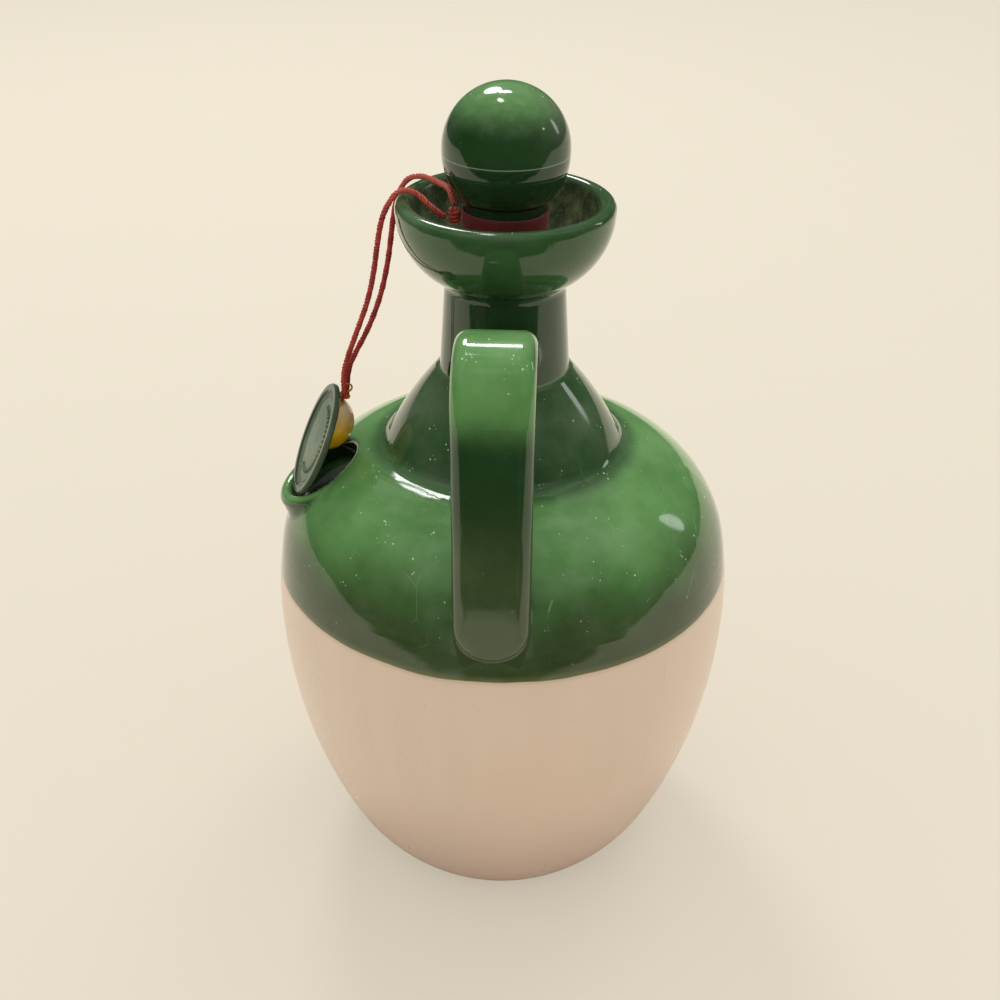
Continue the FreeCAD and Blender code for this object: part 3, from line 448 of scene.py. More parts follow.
def painted_shade_share(graph, place, height):
    """Share of the lit green, with painted shade on the collar, the neck and in the seat's cup."""
    reach = graph.vector("LENGTH", graph.vector("MULTIPLY", place, (1, 1, 0)))
    high = graph.ramp(height, *COLLAR_HEIGHTS)
    near = graph.ramp(reach, *COLLAR_REACH)
    share = graph.math("MULTIPLY_ADD", graph.math("MULTIPLY", high, near), -0.78, 1.0)
    # Painted shade deep in the seat's cup.
    from_seat = graph.vector("SUBTRACT", place, SEAT_CENTRE)
    rise = graph.vector("DOT_PRODUCT", from_seat, SEAT_WAY)
    across = graph.add("ShaderNodeVectorMath", {0: SEAT_WAY, "Scale": rise}, operation="SCALE")
    wide = graph.vector("LENGTH", graph.vector("SUBTRACT", from_seat, across.outputs["Vector"]))
    cup = graph.ramp(wide, CUP_RADIUS + 0.0012, CUP_RADIUS - 0.0008)
    deep = graph.math("MULTIPLY", cup, graph.ramp(rise, 0.004, 0.0))
    return graph.math("MULTIPLY", share, graph.math("SUBTRACT", 1.0, deep))


def body_reach(graph, height):
    """How far the belly or the shoulder reaches from the axis at a height."""
    walls = []
    for out, centre, bend in (BODY_ARC, SHOULDER_ARC):
        rise = graph.math("SUBTRACT", height, centre)
        half = graph.math("SUBTRACT", bend**2, graph.math("MULTIPLY", rise, rise))
        walls.append(graph.math("ADD", graph.math("SQRT", graph.math("MAXIMUM", half, 0.0)), out))
    below = graph.math("LESS_THAN", height, SHOULDER_START)
    return graph.math("MAXIMUM", walls[1], graph.math("MULTIPLY", walls[0], below))


def strap_corner_masks(graph, place, parts):
    """Round the strap's corners beside its rounded tongue, and those corners themselves where they
    stand proud, which get a painted shade.
    """
    flat = graph.vector("LENGTH", graph.vector("MULTIPLY", place, (1, 1, 0)))
    out = graph.math("SUBTRACT", flat, body_reach(graph, parts["Z"]))
    proud = graph.ramp(out, 0.0, 0.00003)
    upright = graph.vector("MULTIPLY", place, (1, 0, 1))
    beside = graph.ramp(
        graph.vector("DISTANCE", upright, (0, 0, TONGUE_MIDDLE)),
        STRAP_WIDTH / 2 - 0.0002, STRAP_WIDTH / 2 + 0.0001,
    )
    low = graph.ramp(parts["Z"], TONGUE_MIDDLE + 0.0012, TONGUE_MIDDLE - 0.0006)
    front = graph.math("LESS_THAN", parts["Y"], -0.045)
    narrow = graph.math("LESS_THAN", graph.math("ABSOLUTE", parts["X"]), CORNER_SIDE)
    foot = graph.ramp(parts["Z"], *CORNER_START)
    span = graph.math("MULTIPLY", low, foot)
    around = graph.product(span, graph.math("MULTIPLY", front, narrow), beside)
    return around, graph.math("MULTIPLY", around, proud)


def strap_shades(graph, settings, place, parts, cloud, colour):
    """Painted light over the strap's crest, a painted reflection of the floor at its foot, and a
    painted dark brown reflection on the belly above the line.
    """
    out = graph.ramp(parts["Y"], *STRAP_OUTSIDE)
    ragged = graph.math("MULTIPLY_ADD", cloud, 0.016, parts["Z"])
    # Painted light on the strap's crest, where it looks up.
    lit_crest = graph.math("MULTIPLY", out, graph.ramp(ragged, *LIT_CREST_HEIGHTS, 0.0, 0.75))
    colour = graph.mix(lit_crest, colour, tuple(settings.green))
    narrow = graph.ramp(graph.math("ABSOLUTE", parts["X"]), *STRAP_SIDES)
    strap = graph.product(narrow, out, graph.ramp(parts["Z"], *STRAP_START))
    # Painted reflection of the pale floor on the strap's lower face, stronger towards its foot.
    foot = graph.math("MULTIPLY", strap, graph.ramp(ragged, *STRAP_SHADE, 0.0, 0.65))
    colour = graph.mix(foot, colour, STRAP_FLOOR_REFLECTION)
    # Painted dark brown reflection on the belly above the line between the glazes, but not on the
    # strap.
    patchy = graph.math("SUBTRACT", graph.noise(place, 34.0, 4.0, 0.6), 0.5)
    ragged = graph.math("MULTIPLY_ADD", patchy, 0.026, parts["Z"])
    dark_reflection = graph.ramp(ragged, *BELLY_REFLECTION_HEIGHTS, 0.0, 0.75)
    dark_reflection = graph.math("MULTIPLY", dark_reflection, graph.math("SUBTRACT", 1.0, strap))
    return graph.mix(dark_reflection, colour, BELLY_DARK_REFLECTION)


def painted_rim_reflection(graph, height, rim_reflection_height, cloud, colour):
    """Painted reflection round the stopper's ball: a fine pale line of the funnel's lit rim, with a
    painted darker band of the funnel's inside just under it.
    """
    off = graph.math("ABSOLUTE", graph.math("SUBTRACT", height, rim_reflection_height))
    broken = graph.ramp(cloud, -0.3, 0.0, 0.08, 0.32)
    line = graph.math("MULTIPLY", graph.ramp(off, 0.00018, 0.00005), broken)
    colour = graph.mix(line, colour, REFLECTED_RIM)
    under = graph.ramp(height, rim_reflection_height, rim_reflection_height - 0.0008, 0.0, 0.6)
    return graph.mix(under, colour, REFLECTED_FUNNEL)


def seal_shades(graph, face, place, normal, cloud, mottle):
    """The seal's dark rim and its paler, duller face; gives the colour and the shine."""
    centre, way = face
    wide = graph.vector("LENGTH", graph.vector("SUBTRACT", place, centre))
    pale = graph.mix(mottle, *SEAL_FACE)
    front = graph.ramp(graph.vector("DOT_PRODUCT", normal, way), -0.5, -0.2)
    plain = graph.math("MULTIPLY", front, graph.ramp(wide, 0.0124, 0.0118))
    rim = graph.mix(graph.ramp(cloud, -0.25, 0.25), *SEAL_RIM)
    return graph.mix(plain, rim, pale), graph.ramp(plain, 0.0, 1.0, 0.4, 0.06)


def funnel_grime(graph, place, height, colour, roughness, relief):
    """Gritty grime dried on to the inside of the funnel's bowl."""
    out, centre, bend = FUNNEL_ARC
    flat = graph.vector("MULTIPLY", place, (1, 1, 0))
    reach = graph.vector("LENGTH", flat)
    drop = graph.math("SUBTRACT", centre, height)
    inner = graph.math("SUBTRACT", bend**2, graph.math("MULTIPLY", drop, drop))
    inner = graph.math("SQRT", graph.math("MAXIMUM", inner, 0.0))
    wall = graph.math("ADD", inner, out)
    inside = graph.ramp(graph.math("SUBTRACT", wall, reach), 0.0, 0.0012)
    high = graph.ramp(height, *FUNNEL_FLOOR)
    low = graph.ramp(height, *FUNNEL_RIM, 1.0, 0.0)
    inside = graph.product(inside, high, low)
    grime = graph.noise(place, 180.0, 5.0, 0.7)
    grime_colour = graph.mix(graph.ramp(grime, 0.35, 0.7), *GRIME)
    grit = graph.math("LESS_THAN", graph.voronoi(place, 1300.0), 0.22)
    grime_colour = graph.mix(graph.math("MULTIPLY", grit, 0.5), grime_colour, GRIT)
    share = graph.math("MULTIPLY", inside, graph.ramp(grime, 0.2, 0.6, 0.45, 0.9))
    colour = graph.mix(share, colour, grime_colour)
    roughness = graph.math("MULTIPLY_ADD", share, 0.6, roughness)
    relief = graph.math("MULTIPLY_ADD", graph.math("MULTIPLY", grime, inside), 0.12, relief)
    return colour, roughness, relief


def cream_glaze(graph, settings, place, height, cloud, colour, roughness, relief):
    """Satin cream glaze under a slightly wandering line, with an olive edge along it, a painted shadow
    under that line and painted shade towards the bottom.
    """
    flat = graph.vector("MULTIPLY", place, (1, 1, 0))
    wave = graph.math("SUBTRACT", graph.noise(flat, 26.0, 3.0, 0.5), 0.5)
    line = graph.math("MULTIPLY_ADD", wave, settings.line_wave * 2, settings.line_height)
    level = graph.math("SUBTRACT", height, line)
    upper = graph.ramp(level, -0.00012, 0.00022)
    edge = graph.math("MULTIPLY", graph.ramp(level, 0.0003, 0.0020, 1.0, 0.0), 0.6)
    colour = graph.mix(edge, colour, LINE_OLIVE)
    streaks = graph.noise(graph.vector("MULTIPLY", place, (90, 90, 9)), 1.0, 3.0, 0.5)
    cream = settings.cream
    shade = tuple(channel * 0.955 for channel in cream)
    body = graph.mix(graph.ramp(streaks, 0.3, 0.7), shade, cream)
    blush = graph.ramp(graph.noise(place, 14.0, 2.0), 0.35, 0.7, 0.0, 0.5)
    body = graph.mix(blush, body, tuple(c * s for c, s in zip(cream, (1.02, 0.97, 0.94))))
    fleck = graph.math("LESS_THAN", graph.voronoi(place, 210.0), 0.045)
    body = graph.mix(graph.math("MULTIPLY", fleck, 0.35), body, FLECK)
    shadow = graph.ramp(level, -0.0013, -0.0002)
    body = graph.mix(graph.math("MULTIPLY", shadow, 0.35), body, LINE_SHADOW)
    # Painted shade: the cream grows darker towards the bottom.
    low_shade = graph.ramp(graph.math("MULTIPLY_ADD", cloud, 0.02, height), 0.052, 0.0)
    body = graph.mix(1.0, body, graph.mix(low_shade, (1, 1, 1), LOW_SHADE), blend="MULTIPLY")
    colour = graph.mix(upper, body, colour)
    satin = graph.ramp(streaks, 0.3, 0.7, 0.27, 0.34)
    roughness = graph.add(
        "ShaderNodeMix", {"Factor": upper, "A": satin, "B": roughness}, data_type="FLOAT"
    ).outputs["Result"]
    return colour, roughness, graph.math("MULTIPLY_ADD", upper, 0.10, relief)


def glaze_material(
    name, settings, vessel=False, dust=1.0, waves=0.25,
    lit_from=0.0, lit_to=0.92, rim_reflection_height=None, face=None, ior=1.54,
):
    """Glossy green glaze with painted light, paler where it faces up; vessel adds what only the jug's
    glaze has.
    """
    material, graph, shader = new_material(name)
    place = graph.add("ShaderNodeTexCoord").outputs["Object"]
    parts = graph.split(place)
    dirt = group_node(graph, dust_group(), Place=place, Amount=settings.dust * dust)
    surface = group_node(graph, glaze_surface_group(), Place=place, Waves=waves)
    normal = graph.add("ShaderNodeNewGeometry").outputs["Normal"]
    cloud = graph.math("SUBTRACT", graph.noise(place, 24.0, 4.0, 0.55), 0.5)
    # Painted light: the glaze goes from its shaded to its lit green as its faces turn to look up.
    tilt = graph.math("MULTIPLY_ADD", cloud, 0.45, graph.split(normal)["Z"])
    lit_share = graph.ramp(tilt, lit_from, lit_to)
    # Painted shade on the collar, the neck and in the seat's cup; the funnel's bowl keeps a little
    # painted light.
    if vessel:
        lit_share = graph.math("MULTIPLY", lit_share, painted_shade_share(graph, place, parts["Z"]))
        lit_share = graph.math("MAXIMUM", lit_share, graph.ramp(parts["Z"], *BOWL_HEIGHTS, 0.0, 0.13))
    colour = graph.mix(lit_share, tuple(settings.deep), tuple(settings.green))
    if vessel:
        colour = strap_shades(graph, settings, place, parts, cloud, colour)
        # Painted shade in the strap's proud corners beside its tongue.
        around, corner_shade = strap_corner_masks(graph, place, parts)
        colour = graph.mix(corner_shade, colour, CORNER_SHADE)
    mottle = graph.ramp(graph.noise(place, 75.0, 5.0, 0.6), 0.35, 0.7)
    colour = graph.mix(1.0, colour, graph.mix(mottle, MOTTLE_DARK, MOTTLE_PALE), blend="MULTIPLY")

    # Paler green along sharp edges, less so round the seat and round the strap's tongue.
    soft = graph.add("ShaderNodeBevel", {"Radius": 0.0011}, samples=6).outputs["Normal"]
    pale_edge = graph.ramp(graph.vector("DISTANCE", normal, soft), 0.10, 0.5, 0.0, 0.5)
    if vessel:
        rims = graph.vector("DISTANCE", place, SEAT_CENTRE)
        spared = graph.ramp(rims, 0.013, 0.017, 0.15, 1.0)
        pale_edge = graph.product(pale_edge, spared, graph.math("SUBTRACT", 1.0, around))
    colour = graph.mix(pale_edge, colour, PALE_EDGE)
    shine = None
    # Painted reflection of the funnel's rim round the stopper's ball.
    if rim_reflection_height:
        colour = painted_rim_reflection(graph, parts["Z"], rim_reflection_height, cloud, colour)
    if face:
        colour, shine = seal_shades(graph, face, place, normal, cloud, mottle)

    roughness = graph.ramp(graph.noise(place, 60.0, 3.0), 0.3, 0.75, 0.045, 0.10)
    colour = graph.mix(graph.math("MULTIPLY", dirt.outputs["Film"], 0.16), colour, FILM)
    roughness = graph.math("MULTIPLY_ADD", dirt.outputs["Film"], 0.16, roughness)
    colour = graph.mix(graph.math("MULTIPLY", dirt.outputs["Scratches"], 0.35), colour, SCRATCH)
    colour = graph.mix(graph.math("MULTIPLY", dirt.outputs["Specks"], 0.9), colour, SPECK)
    roughness = graph.math("MULTIPLY_ADD", dirt.outputs["Specks"], 0.5, roughness)
    relief = graph.math("MULTIPLY_ADD", dirt.outputs["Specks"], 0.02, surface.outputs["Height"])
    if vessel:
        layers = (colour, roughness, relief)
        layers = funnel_grime(graph, place, parts["Z"], *layers)
        layers = cream_glaze(graph, settings, place, parts["Z"], cloud, *layers)
        colour, roughness, relief = layers
        shine = graph.ramp(corner_shade, 0.0, 1.0, 0.5, 0.05)
    graph.feed(shader.inputs["Base Color"], colour)
    graph.feed(shader.inputs["Roughness"], roughness)
    shader.inputs["IOR"].default_value = ior
    if shine:
        graph.feed(shader.inputs["Specular IOR Level"], shine)
    bump = graph.add("ShaderNodeBump", {"Height": relief, "Distance": MM, "Strength": 1.0})
    graph.feed(shader.inputs["Normal"], bump.outputs["Normal"])
    return material


def yarn_material(name, reds, stretch, height, roughness=0.75, sheen=0.35, lit_over_rim=False):
    """Fibres of a cord or a ribbon; the flag for the rim paints light on the part that lies over the
    rim, making it paler.
    """
    deep, light = reds
    material, graph, shader = new_material(name)
    place = graph.add("ShaderNodeTexCoord").outputs["Object"]
    yarn = group_node(graph, yarn_group(), Place=place, Stretch=stretch, Deep=deep, Light=light)
    colour = yarn.outputs["Color"]
    # Painted light on the part that lies over the funnel's rim.
    if lit_over_rim:
        lit_reds = graph.mix(yarn.outputs["Height"], *CORD_LIT)
        over_rim = graph.ramp(graph.split(place)["Z"], 0.1725, 0.1785, 0.0, 0.8)
        colour = graph.mix(over_rim, colour, lit_reds)
    graph.feed(shader.inputs["Base Color"], colour)
    shader.inputs["Roughness"].default_value = roughness
    shader.inputs["Sheen Weight"].default_value = sheen
    shader.inputs["Sheen Tint"].default_value = (1.0, 0.45, 0.4, 1)
    bump = graph.add(
        "ShaderNodeBump", {"Height": yarn.outputs["Height"], "Distance": height, "Strength": 1.0}
    )
    graph.feed(shader.inputs["Normal"], bump.outputs["Normal"])
    return material


def glue_material():
    """Clear set glue: pinkish and milky at its top, amber below."""
    material, graph, shader = new_material("Amber glue")
    place = graph.add("ShaderNodeTexCoord").outputs["Object"]
    height = graph.split(place)["Z"]
    cloud = graph.noise(place, 220.0, 3.0)
    level = graph.math("MULTIPLY_ADD", graph.math("SUBTRACT", cloud, 0.5), 0.004, height)
    colour = graph.mix(graph.ramp(level, 0.1200, 0.1270), (0.80, 0.46, 0.003), (0.74, 0.58, 0.42))
    colour = graph.mix(graph.ramp(height, 0.1265, 0.1272), colour, (0.42, 0.17, 0.02))
    graph.feed(shader.inputs["Base Color"], colour)
    shader.inputs["Transmission Weight"].default_value = 0.3
    shader.inputs["Subsurface Weight"].default_value = 0.5
    shader.inputs["Subsurface Radius"].default_value = (1.0, 0.6, 0.15)
    shader.inputs["Subsurface Scale"].default_value = 0.004
    shader.inputs["IOR"].default_value = 1.5
    graph.feed(shader.inputs["Roughness"], graph.ramp(cloud, 0.3, 0.7, 0.10, 0.22))
    bump = graph.add("ShaderNodeBump", {"Height": cloud, "Distance": 0.0003, "Strength": 0.6})
    graph.feed(shader.inputs["Normal"], bump.outputs["Normal"])
    return material


# ------------------------------------------------------------------- pieces


def mesh_object(name, vertices, faces, material, smooth=True):
    """An object in the scene, made from vertices in metres and faces."""
    mesh = bpy.data.meshes.new(name)
    mesh.from_pydata([tuple(v) for v in vertices], [], faces)
    mesh.update()
    return place_mesh(name, mesh, material, smooth)


def place_mesh(name, mesh, material, smooth=True):
    """Puts a finished mesh into the scene."""
    if smooth:
        mesh.shade_smooth()
    mesh.materials.append(material)
    thing = bpy.data.objects.new(name, mesh)
    bpy.context.scene.collection.objects.link(thing)
    return thing


def finish_node(name, material):
    """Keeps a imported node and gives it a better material."""
    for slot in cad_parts[name].material_slots:
        slot.material = material


def stand_for(thing, *nodes, slot=None):
    """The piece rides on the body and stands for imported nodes."""
    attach(thing, BODY)
    if nodes:
        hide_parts(*nodes)


def route_curve(name, route):
    """Curve with one open spline whose control points are the route's points."""
    curve = bpy.data.curves.new(name, "CURVE")
    curve.dimensions = "3D"
    spline = curve.splines.new("NURBS")
    spline.points.add(len(route) - 1)
    for point, place in zip(spline.points, route):
        point.co = (*(value * MM for value in place), 1)
    spline.order_u = 3
    spline.use_endpoint_u = True
    spline.resolution_u = 12
    thing = bpy.data.objects.new(name, curve)
    bpy.context.scene.collection.objects.link(thing)
    return thing


def route_line(name, route):
    """Points along the smooth line of a route, in metres."""
    thing = route_curve(name, route)
    bpy.context.view_layer.update()
    mesh = bpy.data.meshes.new_from_object(thing)
    line = [vertex.co.copy() for vertex in mesh.vertices]
    bpy.data.meshes.remove(mesh)
    curve = thing.data
    bpy.data.objects.remove(thing)
    bpy.data.curves.remove(curve)
    return line


def line_length(line):
    """Length of a line of points."""
    return sum((b - a).length for a, b in zip(line, line[1:]))


def resample(line, step):
    """Evenly spaced points along a line, its two ends included."""
    total = line_length(line)
    count = max(2, round(total / step))
    wanted = [total * index / count for index in range(count + 1)]
    result = []
    walked = 0.0
    index = 0
    for target in wanted:
        while index < len(line) - 2 and walked + (line[index + 1] - line[index]).length < target:
            walked += (line[index + 1] - line[index]).length
            index += 1
        span = (line[index + 1] - line[index]).length
        share = min(1.0, max(0.0, (target - walked) / span))
        result.append(line[index].lerp(line[index + 1], share))
    return result


def frames_along(line):
    """A side and an up direction at each point that turn as little as they can."""
    ways = []
    for index in range(len(line)):
        before = line[max(0, index - 1)]
        after = line[min(len(line) - 1, index + 1)]
        ways.append((after - before).normalized())
    side = ways[0].orthogonal().normalized()
    result = []
    for way in ways:
        side = (side - way * side.dot(way)).normalized()
        result.append((side, way.cross(side)))
    return result


def tube(line, radius, sides):
    """Vertices and faces of a round tube with flat ends."""
    vertices = []
    faces = []
    for point, (side, up) in zip(line, frames_along(line)):
        for number in range(sides):
            angle = 2 * math.pi * number / sides
            vertices.append(point + side * radius * math.cos(angle) + up * radius * math.sin(angle))
    for index in range(len(line) - 1):
        for number in range(sides):
            after = (number + 1) % sides
            low = index * sides
            high = low + sides
            faces.append((low + number, low + after, high + after, high + number))
    faces.append(tuple(reversed(range(sides))))
    faces.append(tuple(range((len(line) - 1) * sides, len(line) * sides)))
    return vertices, faces


def hoop(centre, way, radius, wire):
    """Vertices and faces of a closed round loop of wire that looks along way, in millimetres."""
    steps = 40
    sides = 14
    way = Vector(way).normalized()
    side = way.orthogonal().normalized()
    up = way.cross(side)
    vertices = []
    faces = []
    for step in range(steps):
        angle = 2 * math.pi * step / steps
        out = side * math.cos(angle) + up * math.sin(angle)
        for number in range(sides):
            turn = 2 * math.pi * number / sides
            offset = out * (radius + wire * math.cos(turn)) + way * wire * math.sin(turn)
            vertices.append((Vector(centre) + offset) * MM)
    for step in range(steps):
        for number in range(sides):
            here = step * sides
            there = (step + 1) % steps * sides
            after = (number + 1) % sides
            faces.append((here + number, there + number, there + after, here + after))
    return vertices, faces


def join_parts(parts):
    """One list of vertices and one of faces from several."""
    vertices = []
    faces = []
    for some_vertices, some_faces in parts:
        shift = len(vertices)
        vertices.extend(some_vertices)
        faces.extend(tuple(index + shift for index in face) for face in some_faces)
    return vertices, faces


def twisted_cord(name, route, settings, seed, material):
    """A cord of several yarns laid up round the line of its route."""
    rng = random.Random(seed)
    line = resample(route_line(name + "_line", route), 0.00022)
    axes = frames_along(line)
    length = line_length(line)
    yarn = settings.diameter * 0.16
    offset = settings.diameter * 0.43 - yarn
    step = length / (len(line) - 1)
    parts = []
    for strand in range(settings.strands):
        start = 2 * math.pi * strand / settings.strands
        phase = rng.uniform(0, 6.28)
        centres = []
        for index, (point, (side, up)) in enumerate(zip(line, axes)):
            angle = start + 2 * math.pi * index * step / settings.pitch
            # The yarns wander a little round the cord and in and out.
            angle += 0.25 * math.sin(index * step * 900 + phase)
            reach = offset * (1 + 0.10 * math.sin(index * step * 1700 + phase))
            centres.append(point + side * reach * math.cos(angle) + up * reach * math.sin(angle))
        parts.append(tube(centres, yarn, 8))
    vertices, faces = join_parts(parts)
    thing = mesh_object(name, vertices, faces, material)
    return thing, line, length


def ring_profile(name, profile, segments, material, place):
    """Closed profile of (radius, height) pairs turned about an axis, in millimetres."""
    vertices = []
    faces = []
    count = len(profile)
    for step in range(segments):
        angle = 2 * math.pi * step / segments
        for radius, height in profile:
            spot = Vector((radius * math.cos(angle), radius * math.sin(angle), height)) * MM
            vertices.append(place @ spot)
    for step in range(segments):
        here = step * count
        there = (step + 1) % segments * count
        for index in range(count):
            after = (index + 1) % count
            faces.append((here + index, there + index, there + after, here + after))
    return mesh_object(name, vertices, faces, material)


def seal_matrix():
    """Where the seal sits and how it is turned."""
    rows = [list(row) + [0] for row in SEAL_AXES]
    matrix = Matrix(rows + [[0, 0, 0, 1]])
    matrix.translation = Vector(SEAL_CENTRE) * MM
    return matrix


def build_jug(settings):
    """The vessel's two glazes, and the tongue in which its strap ends."""
    material = glaze_material("Two glazes", settings, vessel=True)
    finish_node("jug", material)
    build_strap_foot(material)


def build_strap_foot(material):
    """Rounded tongue in which the strap ends, standing a little proud of the belly."""
    half = STRAP_WIDTH / 2
    middle = TONGUE_MIDDLE
    top = TONGUE_TOP
    skirt = STRAP_FACE + 0.006
    arc_steps = 36
    side_steps = 22
    ring_steps = 16
    insets = [
        half * (1 - math.cos(math.pi / 2 * ring / ring_steps)) for ring in range(ring_steps + 1)
    ]

    def outline(reach):
        down = [(reach, top + (middle - top) * step / side_steps) for step in range(side_steps)]
        angles = [math.pi * step / arc_steps for step in range(arc_steps + 1)]
        round_end = [(reach * math.cos(turn), middle - reach * math.sin(turn)) for turn in angles]
        rises = [(top - middle) * step / side_steps for step in range(1, side_steps + 1)]
        up = [(-reach, middle + rise) for rise in rises]
        return down + round_end + up

    def face(height):
        share = min(1.0, max(0.0, (top - height) / (top - middle)))
        return STRAP_FACE - TONGUE_RISE * share * share * (3 - 2 * share)

    rows = [[(across, skirt, height) for across, height in outline(half)]]
    for inset in insets:
        short = max(0.0, STRAP_EDGE - inset)
        drop = STRAP_EDGE - math.sqrt(STRAP_EDGE * STRAP_EDGE - short * short)
        rows.append([(across, face(height) + drop, height) for across, height in outline(half - inset)])
    count = len(rows[0])
    vertices = [spot for row in rows for spot in row]
    faces = []
    for ring in range(len(rows) - 1):
        for number in range(count - 1):
            low = ring * count + number
            faces.append((low, low + 1, low + count + 1, low + count))
    thing = mesh_object("strap_foot", vertices, faces, material)
    stand_for(thing, slot="jug")


def build_stopper(settings):
    """The stopper's glaze, with painted light on its top and a painted reflection of the funnel's rim
    round its ball.
    """
    material = glaze_material(
        "Stopper glaze", settings, dust=1.5, waves=0.10,
        lit_from=0.35, lit_to=1.05, rim_reflection_height=REFLECTED_RIM_HEIGHT,
    )
    finish_node("stopper", material)


def build_band():
    """Ribbon wrapped once round the stem, its cut end lapped over the start."""
    low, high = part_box("band")
    width = high.z - low.z
    thick = 0.00022
    lap = 0.00026
    start = math.radians(-16)
    sweep = math.radians(378)
    steps = 220
    across = 10
    layers = []
    for side in (0, 1):
        for step in range(steps + 1):
            share = step / steps
            angle = start - sweep * share
            reach = high.x - thick * side - lap * max(0.0, min(1.0, (share - 0.02) * 1.04))
            lift = 0.00012 * math.sin(angle * 3 + 1)
            for row in range(across + 1):
                t = row / across
                curl = 0.00005 * math.cos(math.pi * t) ** 6
                height = low.z + lift * 0.5 + 0.0001 + (width - 0.0002) * t
                height = min(max(height, low.z), high.z)
                layers.append(Vector((
                    (reach - curl) * math.cos(angle), (reach - curl) * math.sin(angle), height
                )))
    row_size = across + 1
    total = len(layers) // 2
    faces = []
    for step in range(steps):
        for row in range(across):
            here = step * row_size + row
            next_row = here + row_size
            faces.append((here, next_row, next_row + 1, here + 1))
            faces.append((total + here, total + here + 1, total + next_row + 1, total + next_row))
    for step in range(steps):
        for row in (0, across):
            here = step * row_size + row
            next_row = here + row_size
            face = (here, total + here, total + next_row, next_row)
            faces.append(face if row == 0 else tuple(reversed(face)))
    for step in (0, steps):
        for row in range(across):
            here = step * row_size + row
            face = (here, here + 1, total + here + 1, total + here)
            faces.append(face if step == 0 else tuple(reversed(face)))
    # The ribbon's reds are darker than the cord's: painted shade under the stopper's ball.
    material = yarn_material(
        "Red ribbon", RIBBON_SHADED_REDS, (2600, 2600, 5200), 0.00005, roughness=0.55, sheen=0.3
    )
    thing = mesh_object("ribbon", layers, faces, material)
    stand_for(thing, "band")


def build_knot(material):
    """Turns of cord that tie the two cords to the ribbon."""
    low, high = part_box("knot")
    centre = (Vector(low) + Vector(high)) / 2
    radius = (high.x - low.x) / 2
    tall = high.z - low.z
    yarn = 0.00047
    turns = 3.3
    steps = 130
    points = []
    for step in range(steps + 1):
        share = step / steps
        angle = 2 * math.pi * turns * share + 2.4
        reach = radius - yarn - 0.0001 + 0.00008 * math.sin(step * 0.4)
        points.append(Vector((
            centre.x + reach * math.cos(angle),
            centre.y + reach * math.sin(angle),
            low.z + yarn + 0.00005 + (tall - 2 * yarn - 0.0001) * share,
        )))
    heights = [low.z + 0.0005 + (tall - 0.001) * step / 8 for step in range(9)]
    core = [Vector((centre.x, centre.y, height)) for height in heights]
    vertices, faces = join_parts([tube(points, yarn, 9), tube(core, radius * 0.5, 10)])
    thing = mesh_object("knot_turns", vertices, faces, material)
    stand_for(thing, "knot")


def build_cords(settings, material):
    """The two twisted cords that hang from the knot to the glue."""
    for label, route, seed in (("front", FRONT_ROUTE, 11), ("back", BACK_ROUTE, 23)):
        thing, line, length = twisted_cord(f"twisted_{label}", route, settings, seed, material)
        stand_for(thing, f"cord_{label}", slot="cord")


def build_seal(settings, look):
    """Relief on the seal: a fine ring and an arc of small beads inside its raised rim."""
    place = seal_matrix()
    way = tuple(place.to_3x3().col[2])
    centre = tuple(place @ Vector((0, 0, RELIEF_FLOOR * MM)))
    material = glaze_material("Seal glaze", look, dust=0.5, waves=0.05, face=(centre, way), ior=1.16)
    finish_node("seal", material)
    profile = []
    for step in range(9):
        angle = math.pi * step / 8
        height = RELIEF_FLOOR - 0.05 + RING_WIRE * math.sin(angle)
        profile.append((RING_RADIUS + RING_WIRE * math.cos(angle), height))
    thing = ring_profile("seal_ring", profile, 96, material, place)
    stand_for(thing, slot="seal")

    bm = bmesh.new()
    first, last = BEAD_ARC
    shape = Matrix.Diagonal((1.25, 0.8, 0.9, 1))
    for number in range(settings.beads):
        angle = math.radians(first + (last - first) * number / (settings.beads - 1))
        out = Vector((BEAD_CIRCLE * math.cos(angle), BEAD_CIRCLE * math.sin(angle), RELIEF_FLOOR))
        turn = Matrix.Rotation(angle, 4, "Z")
        bmesh.ops.create_icosphere(
            bm, subdivisions=2, radius=settings.bead_radius,
            matrix=place @ Matrix.Translation(out * MM) @ turn @ shape,
        )
    mesh = bpy.data.meshes.new("seal_beads")
    bm.to_mesh(mesh)
    bm.free()
    thing = place_mesh("seal_beads", mesh, material)
    stand_for(thing, slot="seal")


def build_glue():
    """Glue on the seal's back, with the two small loops that it leaves round the cords' ends."""
    material = glue_material()
    finish_node("glue", material)
    vertices, faces = join_parts([
        hoop((-38.6, -2.4, 128.0), (0.25, 0.05, 0.97), 1.15, 0.42),
        hoop((-37.5, -2.6, 130.2), (0.30, -0.95, 0.05), 0.95, 0.24),
    ])
    thing = mesh_object("glue_loops", vertices, faces, material)
    stand_for(thing, slot="glue")


